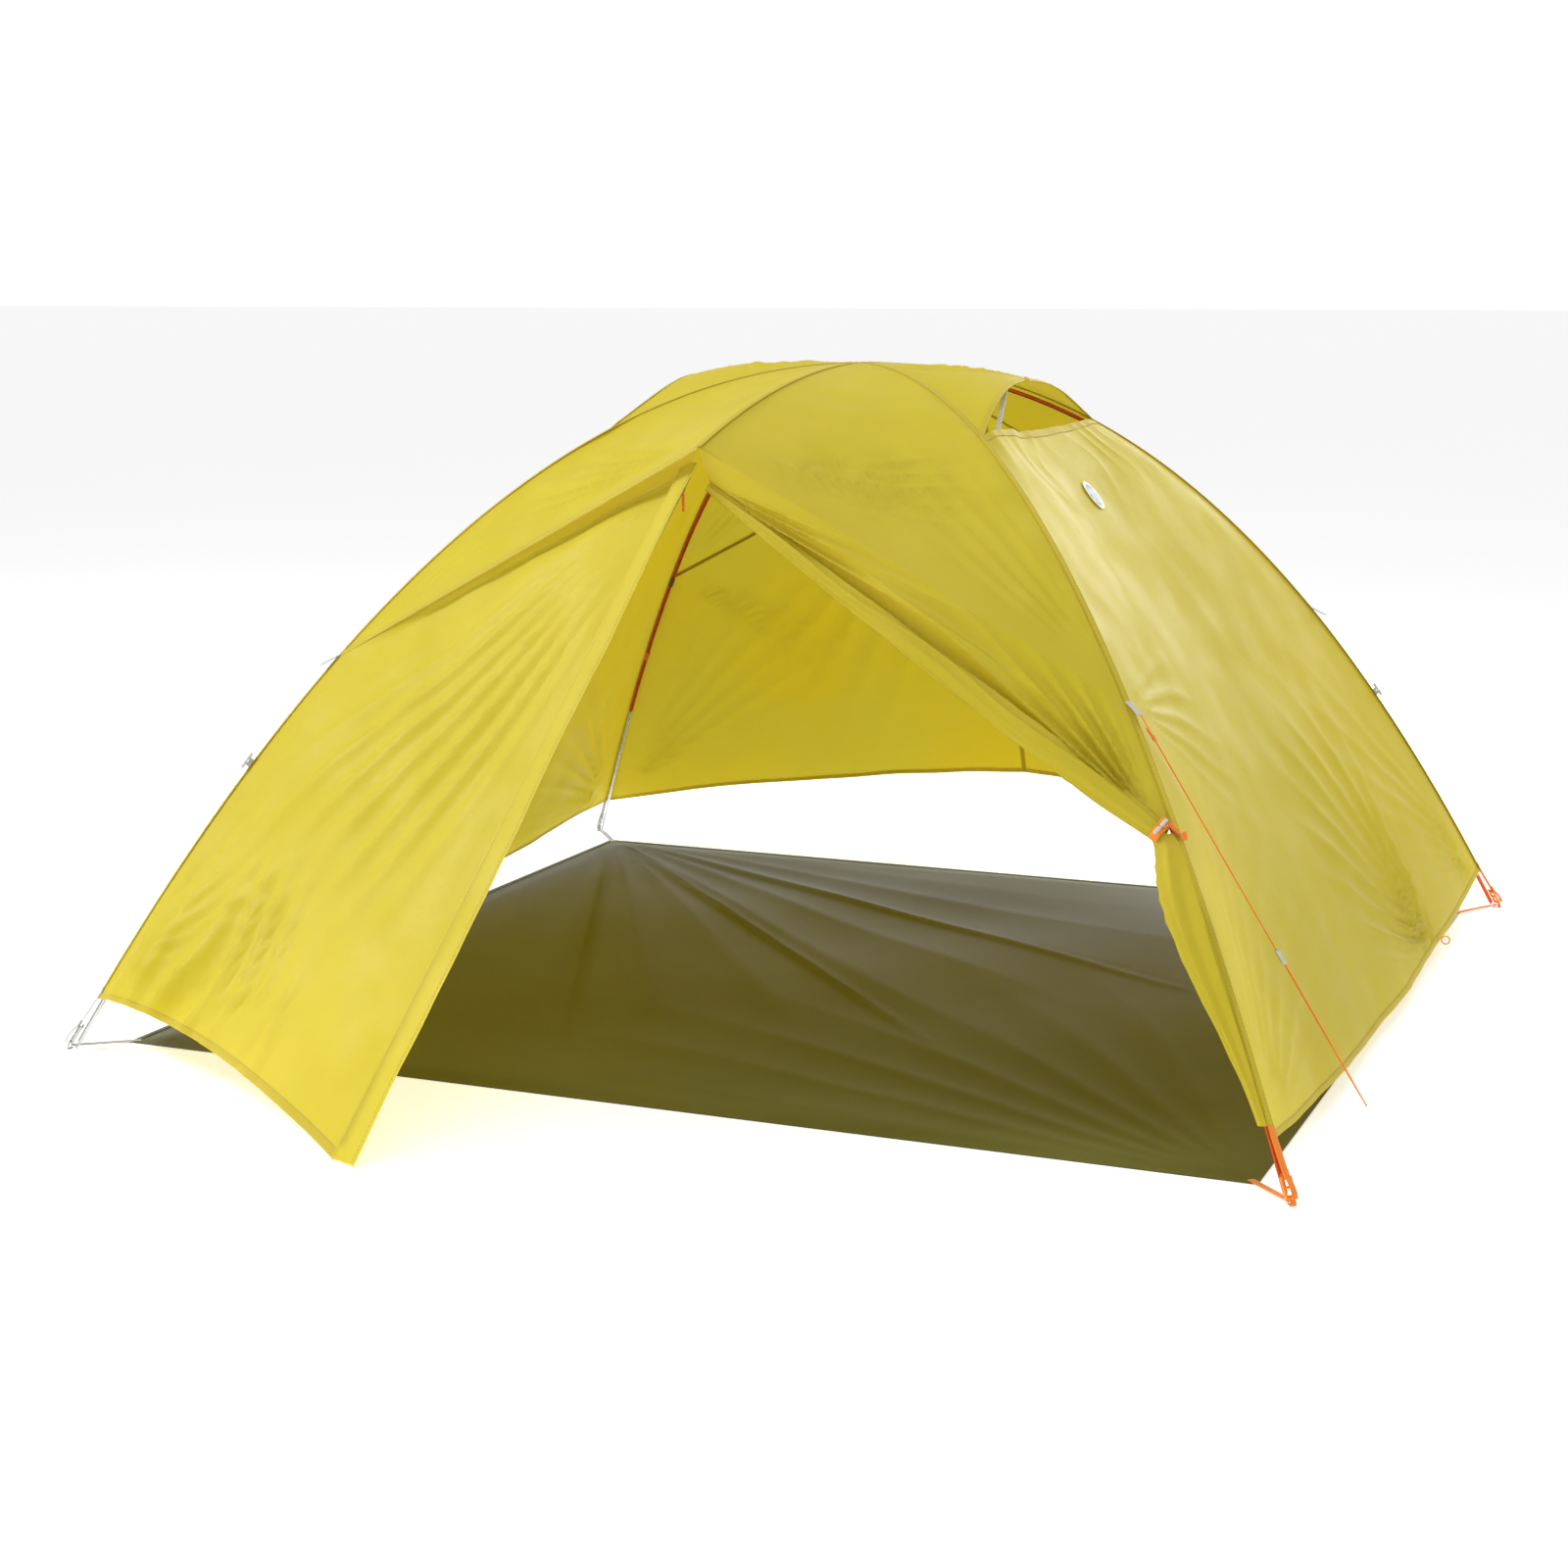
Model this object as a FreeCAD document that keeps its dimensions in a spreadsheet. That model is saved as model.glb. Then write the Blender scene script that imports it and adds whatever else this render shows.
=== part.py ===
import FreeCAD, Part
import Sketcher

import math
import os

# Two-pole dome tent with a brow pole, pitched as rain fly, poles and footprint, in millimetres.
# The origin is the centre of the footprint on the ground: +X is the tent's right, +Y its back, +Z up.

DIMENSIONS = [
    ("footprint_width", 2300, "footprint along X"),
    ("footprint_depth", 2200, "footprint along Y"),
    ("footprint_thickness", 1, "footprint sheet"),
    ("tip_reach_x", 80, "pole tip beyond the footprint corner along X"),
    ("tip_reach_y", 90, "pole tip beyond the footprint corner along Y"),
    ("ridge_height", 1340, "top of the fly over the hub"),
    ("arch_power", 2.09, "exponent of the leg arch"),
    ("brow_reach", 843, "fly ridge end from the hub along Y"),
    ("brow_drop", 135, "fall of the ridge from hub to brow tip"),
    ("fly_thickness", 1.5, "fly sheet"),
    ("seam_standoff", 12, "fly seam to pole axis"),
    ("roof_seam_reach", 1140, "where the roof seam meets a leg, from the hub in plan"),
    ("vent_reach", 560, "where a vent corner meets a leg, from the hub in plan"),
    ("vent_peak_x", 370, "vent hood peak from the hub along X"),
    ("vent_peak_drop", 29, "vent hood peak below the top of the fly"),
    ("vent_sill_sag", 2, "fall of the vent sill at its middle"),
    ("hem_height", 100, "fly hem above ground at each leg"),
    ("end_hem_sag", 60, "fall of an end wall's hem at its middle"),
    ("end_wall_hollow", 45, "inward sag of an end wall"),
    ("back_hem_rise", 150, "rise of the back hem at its middle"),
    ("back_hem_reach", 1220, "middle of the back hem along Y"),
    ("stake_x", 366, "vestibule corner to the left of the centre"),
    ("stake_y", 1590, "vestibule corner in front of the centre"),
    ("door_top_inset", 38, "top of the door behind the end of the ridge"),
    ("door_top_drop", 47, "top of the door below the end of the ridge"),
    ("flap_width", 70, "storm flap at the hem"),
    ("flap_top_width", 37.5, "storm flap at the apex"),
    ("flap_start", 125, "top of the storm flap below the apex"),
    ("flap_lift", 2, "storm flap to the panel under it"),
    ("front_hem_rise", 50, "rise of the front hem at its middle"),
    ("tie_reach", 1325, "where a tie-back meets a leg, from the hub in plan"),
    ("roll_top_radius", 9, "rolled door at the apex"),
    ("roll_full_radius", 27, "rolled door before the tie-back"),
    ("roll_neck_radius", 15, "rolled door at the tie-back"),
    ("roll_start_x", 8, "start of the rolled door right of the top of the door"),
    ("roll_start_y", 7, "start of the rolled door in front of the top of the door"),
    ("roll_start_drop", 28, "start of the rolled door below the top of the door"),
    ("roll_sag", 4, "sag of the rolled door between its ends"),
    ("roll_gap", 6, "rolled door to the panel above it"),
    ("skirt_swell", 13, "swell of the gathered door's radius below the tie-back"),
    ("skirt_end_radius", 6, "gathered door at the hem"),
    ("skirt_standoff", 12, "gathered door to the leg seam"),
    ("pole_diameter", 9, "pole tube outside"),
    ("pole_wall", 0.7, "pole tube wall"),
    ("sections_per_leg", 5, "tube sections from hub to tip"),
    ("ferrule_length", 60, "ferrule inside a pole joint"),
    ("ferrule_wall", 0.8, "ferrule wall"),
    ("running_gap", 0.1, "play between a ferrule and its tube"),
    ("shock_cord_diameter", 2.4, "elastic cord inside the poles"),
    ("tip_length", 20, "pole tip below its tube"),
    ("tip_ball_radius", 4, "ball at the end of a pole tip"),
    ("tip_shaft_radius", 2.8, "pole tip shaft"),
    ("hub_radius", 38, "hub"),
    ("hub_thickness", 14, "hub"),
    ("hub_socket_start", 12, "inner end of a pole socket from the hub axis"),
    ("hub_pin_radius", 3, "swivel pin in the hub"),
    ("brow_clip_width", 18, "clip on the brow pole"),
    ("brow_clip_length", 25, "clip on the brow pole"),
    ("wrap_gap", 0.4, "fabric wrap to its pole"),
    ("wrap_thickness", 1.2, "fabric wrap"),
    ("webbing_width", 13, "corner webbing"),
    ("webbing_thickness", 1.5, "corner webbing"),
    ("eyelet_radius", 6, "eyelet for a pole tip"),
    ("strap_overlap", 24, "strap sewn on the fly"),
    ("buckle_width", 22, "corner buckle"),
    ("buckle_length", 38, "corner buckle"),
    ("buckle_thickness", 4.5, "corner buckle"),
    ("buckle_bar", 4, "bars and rails of a corner buckle"),
    ("buckle_ground_gap", 16, "corner buckle to the ground along the leg"),
    ("toggle_length", 36, "tie-back toggle"),
    ("toggle_radius", 3.4, "tie-back toggle"),
    ("toggle_waist", 1.2, "depth of the groove round a toggle"),
    ("tie_width", 18, "tie-back webbing"),
    ("tie_standoff", 13, "free toggle to the leg seam"),
    ("guy_out_x", 33, "guy-out point from the leg seam along X"),
    ("guy_out_y", 26, "guy-out point from the leg seam along Y"),
    ("guy_out_drop", 20, "guy-out point below the leg seam"),
    ("guy_ground_x", 383, "guyline's end on the ground from the guy-out point along X"),
    ("guy_ground_y", 237, "guyline's end on the ground from the guy-out point along Y"),
    ("cord_diameter", 3, "guyline"),
    ("tensioner_length", 30, "guyline tensioner"),
    ("tensioner_width", 14, "guyline tensioner"),
    ("tensioner_thickness", 7, "guyline tensioner"),
    ("strand_spacing", 8, "between the guyline's two strands"),
    ("cord_play", 0.4, "play of the guyline in the tensioner"),
    ("tab_length", 22, "guy-out tab"),
    ("tab_width", 10, "guy-out tab"),
    ("zip_tape_width", 14, "zip tape"),
    ("zip_tape_thickness", 1, "zip tape"),
    ("zip_slider_length", 12, "zip slider"),
    ("zip_slider_width", 9, "zip slider"),
    ("zip_slider_thickness", 4, "zip slider"),
    ("zip_pull_length", 34, "zip pull"),
    ("prop_length", 160, "vent prop"),
    ("prop_width", 10, "vent prop"),
    ("prop_thickness", 2.5, "vent prop"),
    ("prop_angle", 34, "vent prop's rise from its foot, in degrees"),
    ("prop_foot_inset", 12, "vent prop's foot inside the vent corner along X"),
    ("prop_foot_drop", 4, "vent prop's foot below the vent corner"),
    ("prop_lean", 25, "lean of a vent prop towards the hub"),
    ("patch_width", 58, "blank round patch"),
    ("patch_height", 70, "blank round patch"),
    ("loop_radius", 9, "hem loop"),
    ("clearance", 0.5, "between separate pieces"),
]

QUADRANTS = {
    "front_left": (-1, -1),
    "front_right": (1, -1),
    "back_right": (1, 1),
    "back_left": (-1, 1),
}
ALIASES = {alias for alias, _, _ in DIMENSIONS}
UP = FreeCAD.Vector(0, 0, 1)
ACROSS = FreeCAD.Vector(1, 0, 0)
PATCH_SHARE_ALONG = 0.5  # round patch across the end wall, from front to back
PATCH_SHARE_UP = 0.87  # round patch up the end wall
PROP_FOOT_SHARE = 0.65  # vent prop's foot from the centre line towards the vent corner along Y
GUYLINE_RETURN = 0.393  # second strand of the guyline as a share of the first
GRID = 9  # points along each side of a fabric panel's net

doc = FreeCAD.newDocument("Tent")
sheet = doc.addObject("Spreadsheet::Sheet", "Sizes")
for row, (alias, value, meaning) in enumerate(DIMENSIONS, start=1):
    sheet.set(f"A{row}", meaning)
    sheet.set(f"B{row}", str(value))
    sheet.setAlias(f"B{row}", alias)
sheet.Label = "Sizes"
doc.recompute()

nodes = []


def dim(alias):
    """The value of one spreadsheet cell."""
    return float(getattr(sheet, alias))


def cell(formula):
    """An expression in which every alias points at the spreadsheet."""
    return " ".join(f"<<Sizes>>.{word}" if word in ALIASES else word for word in formula.split())


# ---------------------------------------------------------------- reference curves

TIP_X = dim("footprint_width") / 2 + dim("tip_reach_x")
TIP_Y = dim("footprint_depth") / 2 + dim("tip_reach_y")
SPAN = math.hypot(TIP_X, TIP_Y)
RIDGE = dim("ridge_height")
POLE_RADIUS = dim("pole_diameter") / 2


def outward(quadrant):
    """Level unit vector from the hub towards a pole tip."""
    side_x, side_y = QUADRANTS[quadrant]
    return FreeCAD.Vector(side_x * TIP_X, side_y * TIP_Y, 0) / SPAN


def seam(quadrant, reach):
    """A point of the fly's leg seam, at a distance in plan from the hub."""
    height = RIDGE * (1 - (reach / SPAN) ** dim("arch_power"))
    return outward(quadrant) * reach + UP * height


def leg_slope(reach):
    power = dim("arch_power")
    return -RIDGE * power / SPAN * (reach / SPAN) ** (power - 1)


def leg_tangent(quadrant, reach):
    """Unit vector down the leg."""
    return (outward(quadrant) + UP * leg_slope(reach)).normalize()


def leg_normal(quadrant, reach):
    """Unit vector out of the tent, square to the leg and in its upright plane."""
    return (outward(quadrant) * -leg_slope(reach) + UP).normalize()


def pole_point(quadrant, reach):
    return seam(quadrant, reach) - leg_normal(quadrant, reach) * dim("seam_standoff")


def reach_at_height(point_of, height):
    """The reach at which a falling curve passes a height, by bisection."""
    low, high = 0.0, SPAN
    for _ in range(50):
        middle = (low + high) / 2
        if point_of(middle).z > height:
            low = middle
        else:
            high = middle
    return (low + high) / 2


def ridge_point(side_y, reach):
    """A point of the fly's ridge over the brow pole."""
    fall = dim("brow_drop") * (reach / dim("brow_reach")) ** 2
    return FreeCAD.Vector(0, side_y * reach, RIDGE - fall)


HEM_REACH = reach_at_height(lambda reach: seam("front_left", reach), dim("hem_height"))
BROW_Z = RIDGE - dim("fly_thickness") - POLE_RADIUS - 2 * dim("clearance")
HUB_TOP = BROW_Z - POLE_RADIUS - dim("clearance")
LEG_Z = HUB_TOP - dim("hub_thickness") / 2


# ---------------------------------------------------------------- shape helpers


def pose(origin, x_axis, z_axis):
    """The placement that lays X and Z along two directions at an origin."""
    rotation = FreeCAD.Rotation(x_axis, z_axis.cross(x_axis), z_axis, "ZXY")
    return FreeCAD.Placement(origin, rotation)


def place(shape, origin, x_axis, z_axis):
    """A copy of a shape with its own X and Z laid along two directions at an origin."""
    copy = shape.copy()
    copy.Placement = pose(origin, x_axis, z_axis)
    return copy


def strip(length, width, thickness):
    """A flat strip along +X, centred on Y and Z."""
    return Part.makeBox(length, width, thickness, FreeCAD.Vector(0, -width / 2, -thickness / 2))


def arc_edge(start, tangent, end):
    """The arc that leaves a point along a tangent and reaches another point."""
    chord = end - start
    along = chord * (tangent.dot(chord) / chord.Length ** 2)
    across = tangent - along
    if across.Length < 1e-5:
        return Part.LineSegment(start, end).toShape()
    half_turn = math.asin(min(1.0, across.Length))
    sagitta = chord.Length / 2 * math.tan(half_turn / 2)
    middle = (start + end) / 2 + across.normalize() * sagitta
    return Part.Arc(start, middle, end).toShape()


def biarc(start, start_tangent, end, end_tangent):
    """Two tangent arcs between two points with given tangents."""
    chord = end - start
    both = start_tangent + end_tangent
    bend = 2 * (1 - start_tangent.dot(end_tangent))
    reach = chord.dot(both)
    if bend < 1e-9:
        handle = chord.dot(chord) / (2 * reach)
    else:
        handle = (math.sqrt(reach ** 2 + bend * chord.dot(chord)) - reach) / bend
    joint = (start + start_tangent * handle + end - end_tangent * handle) / 2
    first = arc_edge(start, start_tangent, joint)
    second = arc_edge(end, end_tangent * -1, joint)
    return [first, second]


def curve_path(point_of, tangent_of, stations):
    """A wire of tangent arcs through the stations of a curve."""
    edges = []
    for low, high in zip(stations, stations[1:]):
        edges += biarc(point_of(low), tangent_of(low), point_of(high), tangent_of(high))
    return Part.Wire(Part.__sortEdges__(edges))


def rod_along(path, radius, start, tangent):
    """A solid round rod swept along a wire."""
    profile = Part.Face(Part.Wire([Part.makeCircle(radius, start, tangent)]))
    return path.makePipe(profile)


def tube_along(point_of, tangent_of, stations, outer, inner):
    """A round tube swept along a curve."""
    path = curve_path(point_of, tangent_of, stations)
    ends = (point_of(stations[0]), tangent_of(stations[0]))
    shell = rod_along(path, outer, *ends)
    return shell.cut(rod_along(path, inner, *ends)) if inner > 0 else shell


def equal_stations(point_of, low, high, count):
    """Parameters that divide a curve into runs of equal length."""
    steps = 400
    samples = [low + (high - low) * i / steps for i in range(steps + 1)]
    lengths = [0.0]
    for before, after in zip(samples, samples[1:]):
        lengths.append(lengths[-1] + (point_of(after) - point_of(before)).Length)
    stations = []
    for i in range(count + 1):
        goal = lengths[-1] * i / count
        stations.append(min(zip(lengths, samples), key=lambda pair: abs(pair[0] - goal))[1])
    return stations


def sheet_inward(point):
    """Unit vector into the tent, the same for every panel at a point, so that panels meet."""
    scaled = FreeCAD.Vector(point.x / TIP_X ** 2, point.y / TIP_Y ** 2, max(point.z, 0) / RIDGE ** 2)
    return scaled.normalize() * -1


def coons(bottom, top, left, right, bulge=0.0):
    """A net of points that fills four border curves, with an outward bulge at its middle."""
    net = []
    for i in range(GRID):
        u = i / (GRID - 1)
        row = []
        for j in range(GRID):
            v = j / (GRID - 1)
            ruled = bottom(u) * (1 - v) + top(u) * v + left(v) * (1 - u) + right(v) * u
            corners = (bottom(0) * (1 - u) + bottom(1) * u) * (1 - v)
            corners += (top(0) * (1 - u) + top(1) * u) * v
            point = ruled - corners
            swell = 16 * u * (1 - u) * v * (1 - v) * bulge
            row.append(point - sheet_inward(point) * swell)
        net.append(row)
    return net


def panel_solid(net, thickness, direction=sheet_inward):
    """A closed sheet with a net of points as its outer face."""
    inner_net = [[point + direction(point) * thickness for point in row] for row in net]
    faces = []
    surfaces = []
    for points in (net, inner_net):
        surface = Part.BSplineSurface()
        surface.interpolate(points)
        surfaces.append(surface)
        faces.append(surface.toShape())
    outer, inner = surfaces
    u_low, u_high, v_low, v_high = outer.bounds()
    p_low, p_high, q_low, q_high = inner.bounds()
    borders = [
        (outer.uIso(u_low), inner.uIso(p_low)),
        (outer.uIso(u_high), inner.uIso(p_high)),
        (outer.vIso(v_low), inner.vIso(q_low)),
        (outer.vIso(v_high), inner.vIso(q_high)),
    ]
    for outside, inside in borders:
        faces.append(Part.makeRuledSurface(outside.toShape(), inside.toShape()))
    shell = Part.makeShell(faces)
    shell.sewShape()
    solid = Part.Solid(shell)
    if solid.Volume < 0:
        solid.reverse()
    return solid


def run(start, end, rise=0.0):
    """A border curve: a straight run with a rise at its middle."""
    return lambda t: start + (end - start) * t + UP * (4 * t * (1 - t) * rise)


def leg_run(quadrant, low, high):
    return lambda t: seam(quadrant, low + (high - low) * t)


def ridge_run(side_y, high):
    return lambda t: ridge_point(side_y, high * t)


# ---------------------------------------------------------------- document helpers


def add_node(obj, label):
    obj.Label = label
    nodes.append(obj)
    return obj


def shape_node(label, shapes):
    """A node whose shape is made with Part's functions from the sheet's values."""
    solids = shapes if isinstance(shapes, list) else [shapes]
    obj = doc.addObject("Part::Feature", label)
    obj.Shape = solids[0] if len(solids) == 1 else Part.makeCompound(solids)
    return add_node(obj, label)


def new_body(label):
    body = doc.addObject("PartDesign::Body", label)
    body.Label = label
    return body


def plane_of(body, role):
    return next(item for item in body.Origin.OriginFeatures if item.Role == role)


def new_sketch(body, name, role):
    sketch = body.newObject("Sketcher::SketchObject", name)
    sketch.AttachmentSupport = [(plane_of(body, role), "")]
    sketch.MapMode = "FlatFace"
    return sketch


def bind(sketch, index, name, formula):
    sketch.renameConstraint(index, name)
    sketch.setExpression(f"Constraints.{name}", cell(formula))


def outline(body, name, role, corners):
    """A closed polygon whose corners are pairs of formulas of the sheet's cells."""
    sketch = new_sketch(body, name, role)
    doc.recompute()
    places = [tuple(worked_out(formula) for formula in corner) for corner in corners]
    count = len(places)
    for i, (x, y) in enumerate(places):
        next_x, next_y = places[(i + 1) % count]
        line = Part.LineSegment(FreeCAD.Vector(x, y, 0), FreeCAD.Vector(next_x, next_y, 0))
        sketch.addGeometry(line)
    for i in range(count):
        sketch.addConstraint(Sketcher.Constraint("Coincident", i, 2, (i + 1) % count, 1))
    for i, ((x, y), corner) in enumerate(zip(places, corners)):
        for kind, axis, number, formula in (
            ("DistanceX", -2, x, corner[0]),
            ("DistanceY", -1, y, corner[1]),
        ):
            if formula == "0":
                sketch.addConstraint(Sketcher.Constraint("PointOnObject", i, 1, axis))
                continue
            index = sketch.addConstraint(Sketcher.Constraint(kind, -1, 1, i, 1, number))
            bind(sketch, index, f"{kind}{i}", formula)
    return sketch


def worked_out(formula):
    """The number that a formula of the sheet's cells gives."""
    probe = PROBE
    probe.setExpression("Value", cell(formula))
    probe.recompute()
    return float(probe.Value)


PROBE = doc.addObject("App::FeaturePython", "Probe")
PROBE.addProperty("App::PropertyFloat", "Value")


def circle_sketch(body, name, role, radius, x="0", y="0"):
    """A circle whose radius and centre are formulas of the sheet's cells."""
    sketch = new_sketch(body, name, role)
    centre = FreeCAD.Vector(worked_out(x), worked_out(y), 0)
    sketch.addGeometry(Part.Circle(centre, FreeCAD.Vector(0, 0, 1), worked_out(radius)))
    index = sketch.addConstraint(Sketcher.Constraint("Radius", 0, worked_out(radius)))
    bind(sketch, index, "CircleRadius", radius)
    for kind, axis, formula, number in (
        ("DistanceX", -2, x, centre.x),
        ("DistanceY", -1, y, centre.y),
    ):
        if formula == "0":
            sketch.addConstraint(Sketcher.Constraint("PointOnObject", 0, 3, axis))
            continue
        index = sketch.addConstraint(Sketcher.Constraint(kind, -1, 1, 0, 3, number))
        bind(sketch, index, f"Centre{kind}", formula)
    return sketch


def pad(body, name, sketch, length):
    """A pad of both sides of its sketch."""
    feature = body.newObject("PartDesign::Pad", name)
    feature.Profile = sketch
    feature.SideType = "Symmetric"
    feature.setExpression("Length", cell(length))
    doc.recompute()
    return feature


def pocket(body, name, sketch):
    """A pocket through all on both sides of its sketch."""
    before = body.Shape.Volume
    feature = body.newObject("PartDesign::Pocket", name)
    feature.Profile = sketch
    feature.Type = "ThroughAll"
    feature.SideType = "Symmetric"
    doc.recompute()
    if not body.Shape.Volume < before:
        raise RuntimeError(f"{body.Label}: {name} cuts nothing")
    return feature


def add_barrel(body, radius, length, y="0"):
    """A round bar along the body's X axis."""
    pad(body, "BarrelPad", circle_sketch(body, "Barrel", "YZ_Plane", radius, y), length)


def revolve(body, name, sketch):
    """A full turn of a sketch about its own vertical axis."""
    feature = body.newObject("PartDesign::Revolution", name)
    feature.Profile = sketch
    feature.ReferenceAxis = (sketch, ["V_Axis"])
    feature.Angle = 360
    doc.recompute()
    return feature


def round_edges(body, base, radius, upright_only=True):
    """A fillet of a feature's edges that run along the body's Z axis, or of all of them."""
    names = []
    for i, edge in enumerate(base.Shape.Edges, start=1):
        upright = edge.Curve.TypeId == "Part::GeomLine" and abs(edge.Curve.Direction.z) > 0.99
        if upright or not upright_only:
            names.append(f"Edge{i}")
    feature = body.newObject("PartDesign::Fillet", "Fillet")
    feature.Base = (base, names)
    feature.setExpression("Radius", cell(radius))
    doc.recompute()
    return feature


def rectangle(width, length, y_low=None):
    """Corner formulas of a rectangle centred on X, and on Y unless its low edge is given."""
    half = f"( {width} ) / 2"
    low = f"- ( {length} ) / 2" if y_low is None else y_low
    high = f"( {length} ) / 2" if y_low is None else f"{y_low} + {length}"
    return [(f"- {half}", low), (half, low), (half, high), (f"- {half}", high)]


# ---------------------------------------------------------------- footprint and corner webbing


def make_footprint():
    body = new_body("footprint")
    corners = rectangle("footprint_width", "footprint_depth")
    sheet_pad = pad(body, "Sheet", outline(body, "Plan", "XY_Plane", corners), "footprint_thickness")
    round_edges(body, sheet_pad, "webbing_width")
    body.Placement = FreeCAD.Placement(UP * (dim("footprint_thickness") / 2), FreeCAD.Rotation())
    add_node(body, "footprint")


def corner_of_footprint(quadrant):
    side_x, side_y = QUADRANTS[quadrant]
    return FreeCAD.Vector(side_x * dim("footprint_width") / 2, side_y * dim("footprint_depth") / 2, 0)


def pole_end_reach():
    """Reach at which a pole tube ends, so that the ball of its tip stands on the ground."""
    shaft = dim("tip_length") - dim("tip_ball_radius")
    steepness = math.sin(math.atan(-leg_slope(SPAN)))
    height = dim("tip_ball_radius") + shaft * steepness
    return reach_at_height(lambda reach: pole_point("front_left", reach), height)


def make_corner_webbing():
    """Webbing from each footprint corner to the eyelet that holds a pole tip."""
    end_reach = pole_end_reach()
    for side, side_x in (("left", -1), ("right", 1)):
        straps = []
        for quadrant in QUADRANTS:
            if QUADRANTS[quadrant][0] != side_x:
                continue
            tube_end = pole_point(quadrant, end_reach)
            eyelet = tube_end + leg_tangent(quadrant, end_reach) * (dim("tip_length") / 2)
            corner = corner_of_footprint(quadrant)
            level = FreeCAD.Vector(eyelet.x - corner.x, eyelet.y - corner.y, 0).normalize()
            start = corner - level * (2 * dim("webbing_width"))
            start.z = dim("footprint_thickness") + dim("webbing_thickness") / 2 + dim("running_gap")
            length_axis = (eyelet - start).normalize()
            across = UP.cross(length_axis).normalize()
            normal = length_axis.cross(across)
            length = (eyelet - start).Length + dim("webbing_width")
            strap = strip(length, dim("webbing_width"), dim("webbing_thickness"))
            hole = Part.makeCylinder(
                dim("eyelet_radius"),
                4 * dim("webbing_thickness"),
                FreeCAD.Vector(length - dim("webbing_width"), 0, -2 * dim("webbing_thickness")),
            )
            straps.append(place(strap.cut(hole), start, length_axis, normal))
        shape_node(f"corner_webbing_{side}", straps)


# ---------------------------------------------------------------- poles


def leg_stations():
    start = dim("hub_radius")
    point_of = lambda reach: leg_curve("front_left", reach)
    return equal_stations(point_of, start, pole_end_reach(), int(dim("sections_per_leg")))


def leg_curve(quadrant, reach):
    """The pole's axis: level out of the hub, then along the inside of the leg seam."""
    if reach <= dim("hub_radius"):
        return outward(quadrant) * reach + UP * LEG_Z
    return pole_point(quadrant, reach)


def leg_direction(quadrant, reach):
    return outward(quadrant) if reach <= dim("hub_radius") else leg_tangent(quadrant, reach)


def make_poles():
    """Tube sections of the four legs, their ferrules, tips and shock cords."""
    stations = leg_stations()
    inner = POLE_RADIUS - dim("pole_wall")
    ferrule_outer = inner - dim("running_gap")
    ferrule_inner = ferrule_outer - dim("ferrule_wall")
    feet = {"left": [], "right": []}
    ferrules = []
    cords = []
    tips = []
    for quadrant, (side_x, _) in QUADRANTS.items():
        point_of = lambda reach: leg_curve(quadrant, reach)
        tangent_of = lambda reach: leg_direction(quadrant, reach)
        upper = []
        for i, (low, high) in enumerate(zip(stations, stations[1:])):
            middle = (low + high) / 2
            section = tube_along(point_of, tangent_of, [low, middle, high], POLE_RADIUS, inner)
            if i == 0:
                plug_start = outward(quadrant) * dim("hub_socket_start") + UP * LEG_Z
                plug_length = dim("hub_radius") - dim("hub_socket_start")
                plug = Part.makeCylinder(POLE_RADIUS, plug_length, plug_start, outward(quadrant))
                plug = plug.cut(Part.makeCylinder(inner, plug_length, plug_start, outward(quadrant)))
                section = section.fuse(plug).removeSplitter()
            if high == stations[-1]:
                feet["left" if side_x < 0 else "right"].append(section)
            else:
                upper.append(section)
                half = dim("ferrule_length") / 2 * math.cos(math.atan(leg_slope(high)))
                sleeve = tube_along(
                    point_of, tangent_of, [high - half, high + half], ferrule_outer, ferrule_inner
                )
                ferrules.append(sleeve)
        shape_node(f"pole_sections_{quadrant}", upper)
        cord_path = curve_path(point_of, tangent_of, stations)
        start = point_of(stations[0])
        cords.append(
            rod_along(cord_path, dim("shock_cord_diameter") / 2, start, tangent_of(stations[0]))
        )
        end = stations[-1]
        tips.append(place(tip_shape(inner), point_of(end), across_of(quadrant), tangent_of(end)))
    for side, sections in feet.items():
        shape_node(f"pole_foot_sections_{side}", sections)
    shape_node("pole_tips", tips)
    return ferrules, cords


def across_of(quadrant):
    """Level unit vector square to the leg's upright plane."""
    return UP.cross(outward(quadrant))


def tip_shape(inner):
    """A turned aluminium tip: collar, shaft and ball, with its axis along +Z from the tube's end."""
    collar = Part.makeCylinder(POLE_RADIUS, dim("pole_wall") * 3)
    shaft = Part.makeCylinder(dim("tip_shaft_radius"), dim("tip_length") - dim("tip_ball_radius"))
    ball_centre = UP * (dim("tip_length") - dim("tip_ball_radius"))
    ball = Part.makeSphere(dim("tip_ball_radius"), ball_centre)
    return collar.fuse(shaft).fuse(ball).removeSplitter()


def brow_curve(reach):
    """The brow pole's axis, under the fly's ridge."""
    fall = dim("brow_drop") * (reach / dim("brow_reach")) ** 2
    return FreeCAD.Vector(0, reach, BROW_Z - fall)


def brow_tangent(reach):
    slope = -2 * dim("brow_drop") * reach / dim("brow_reach") ** 2
    return FreeCAD.Vector(0, 1, slope).normalize()


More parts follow.
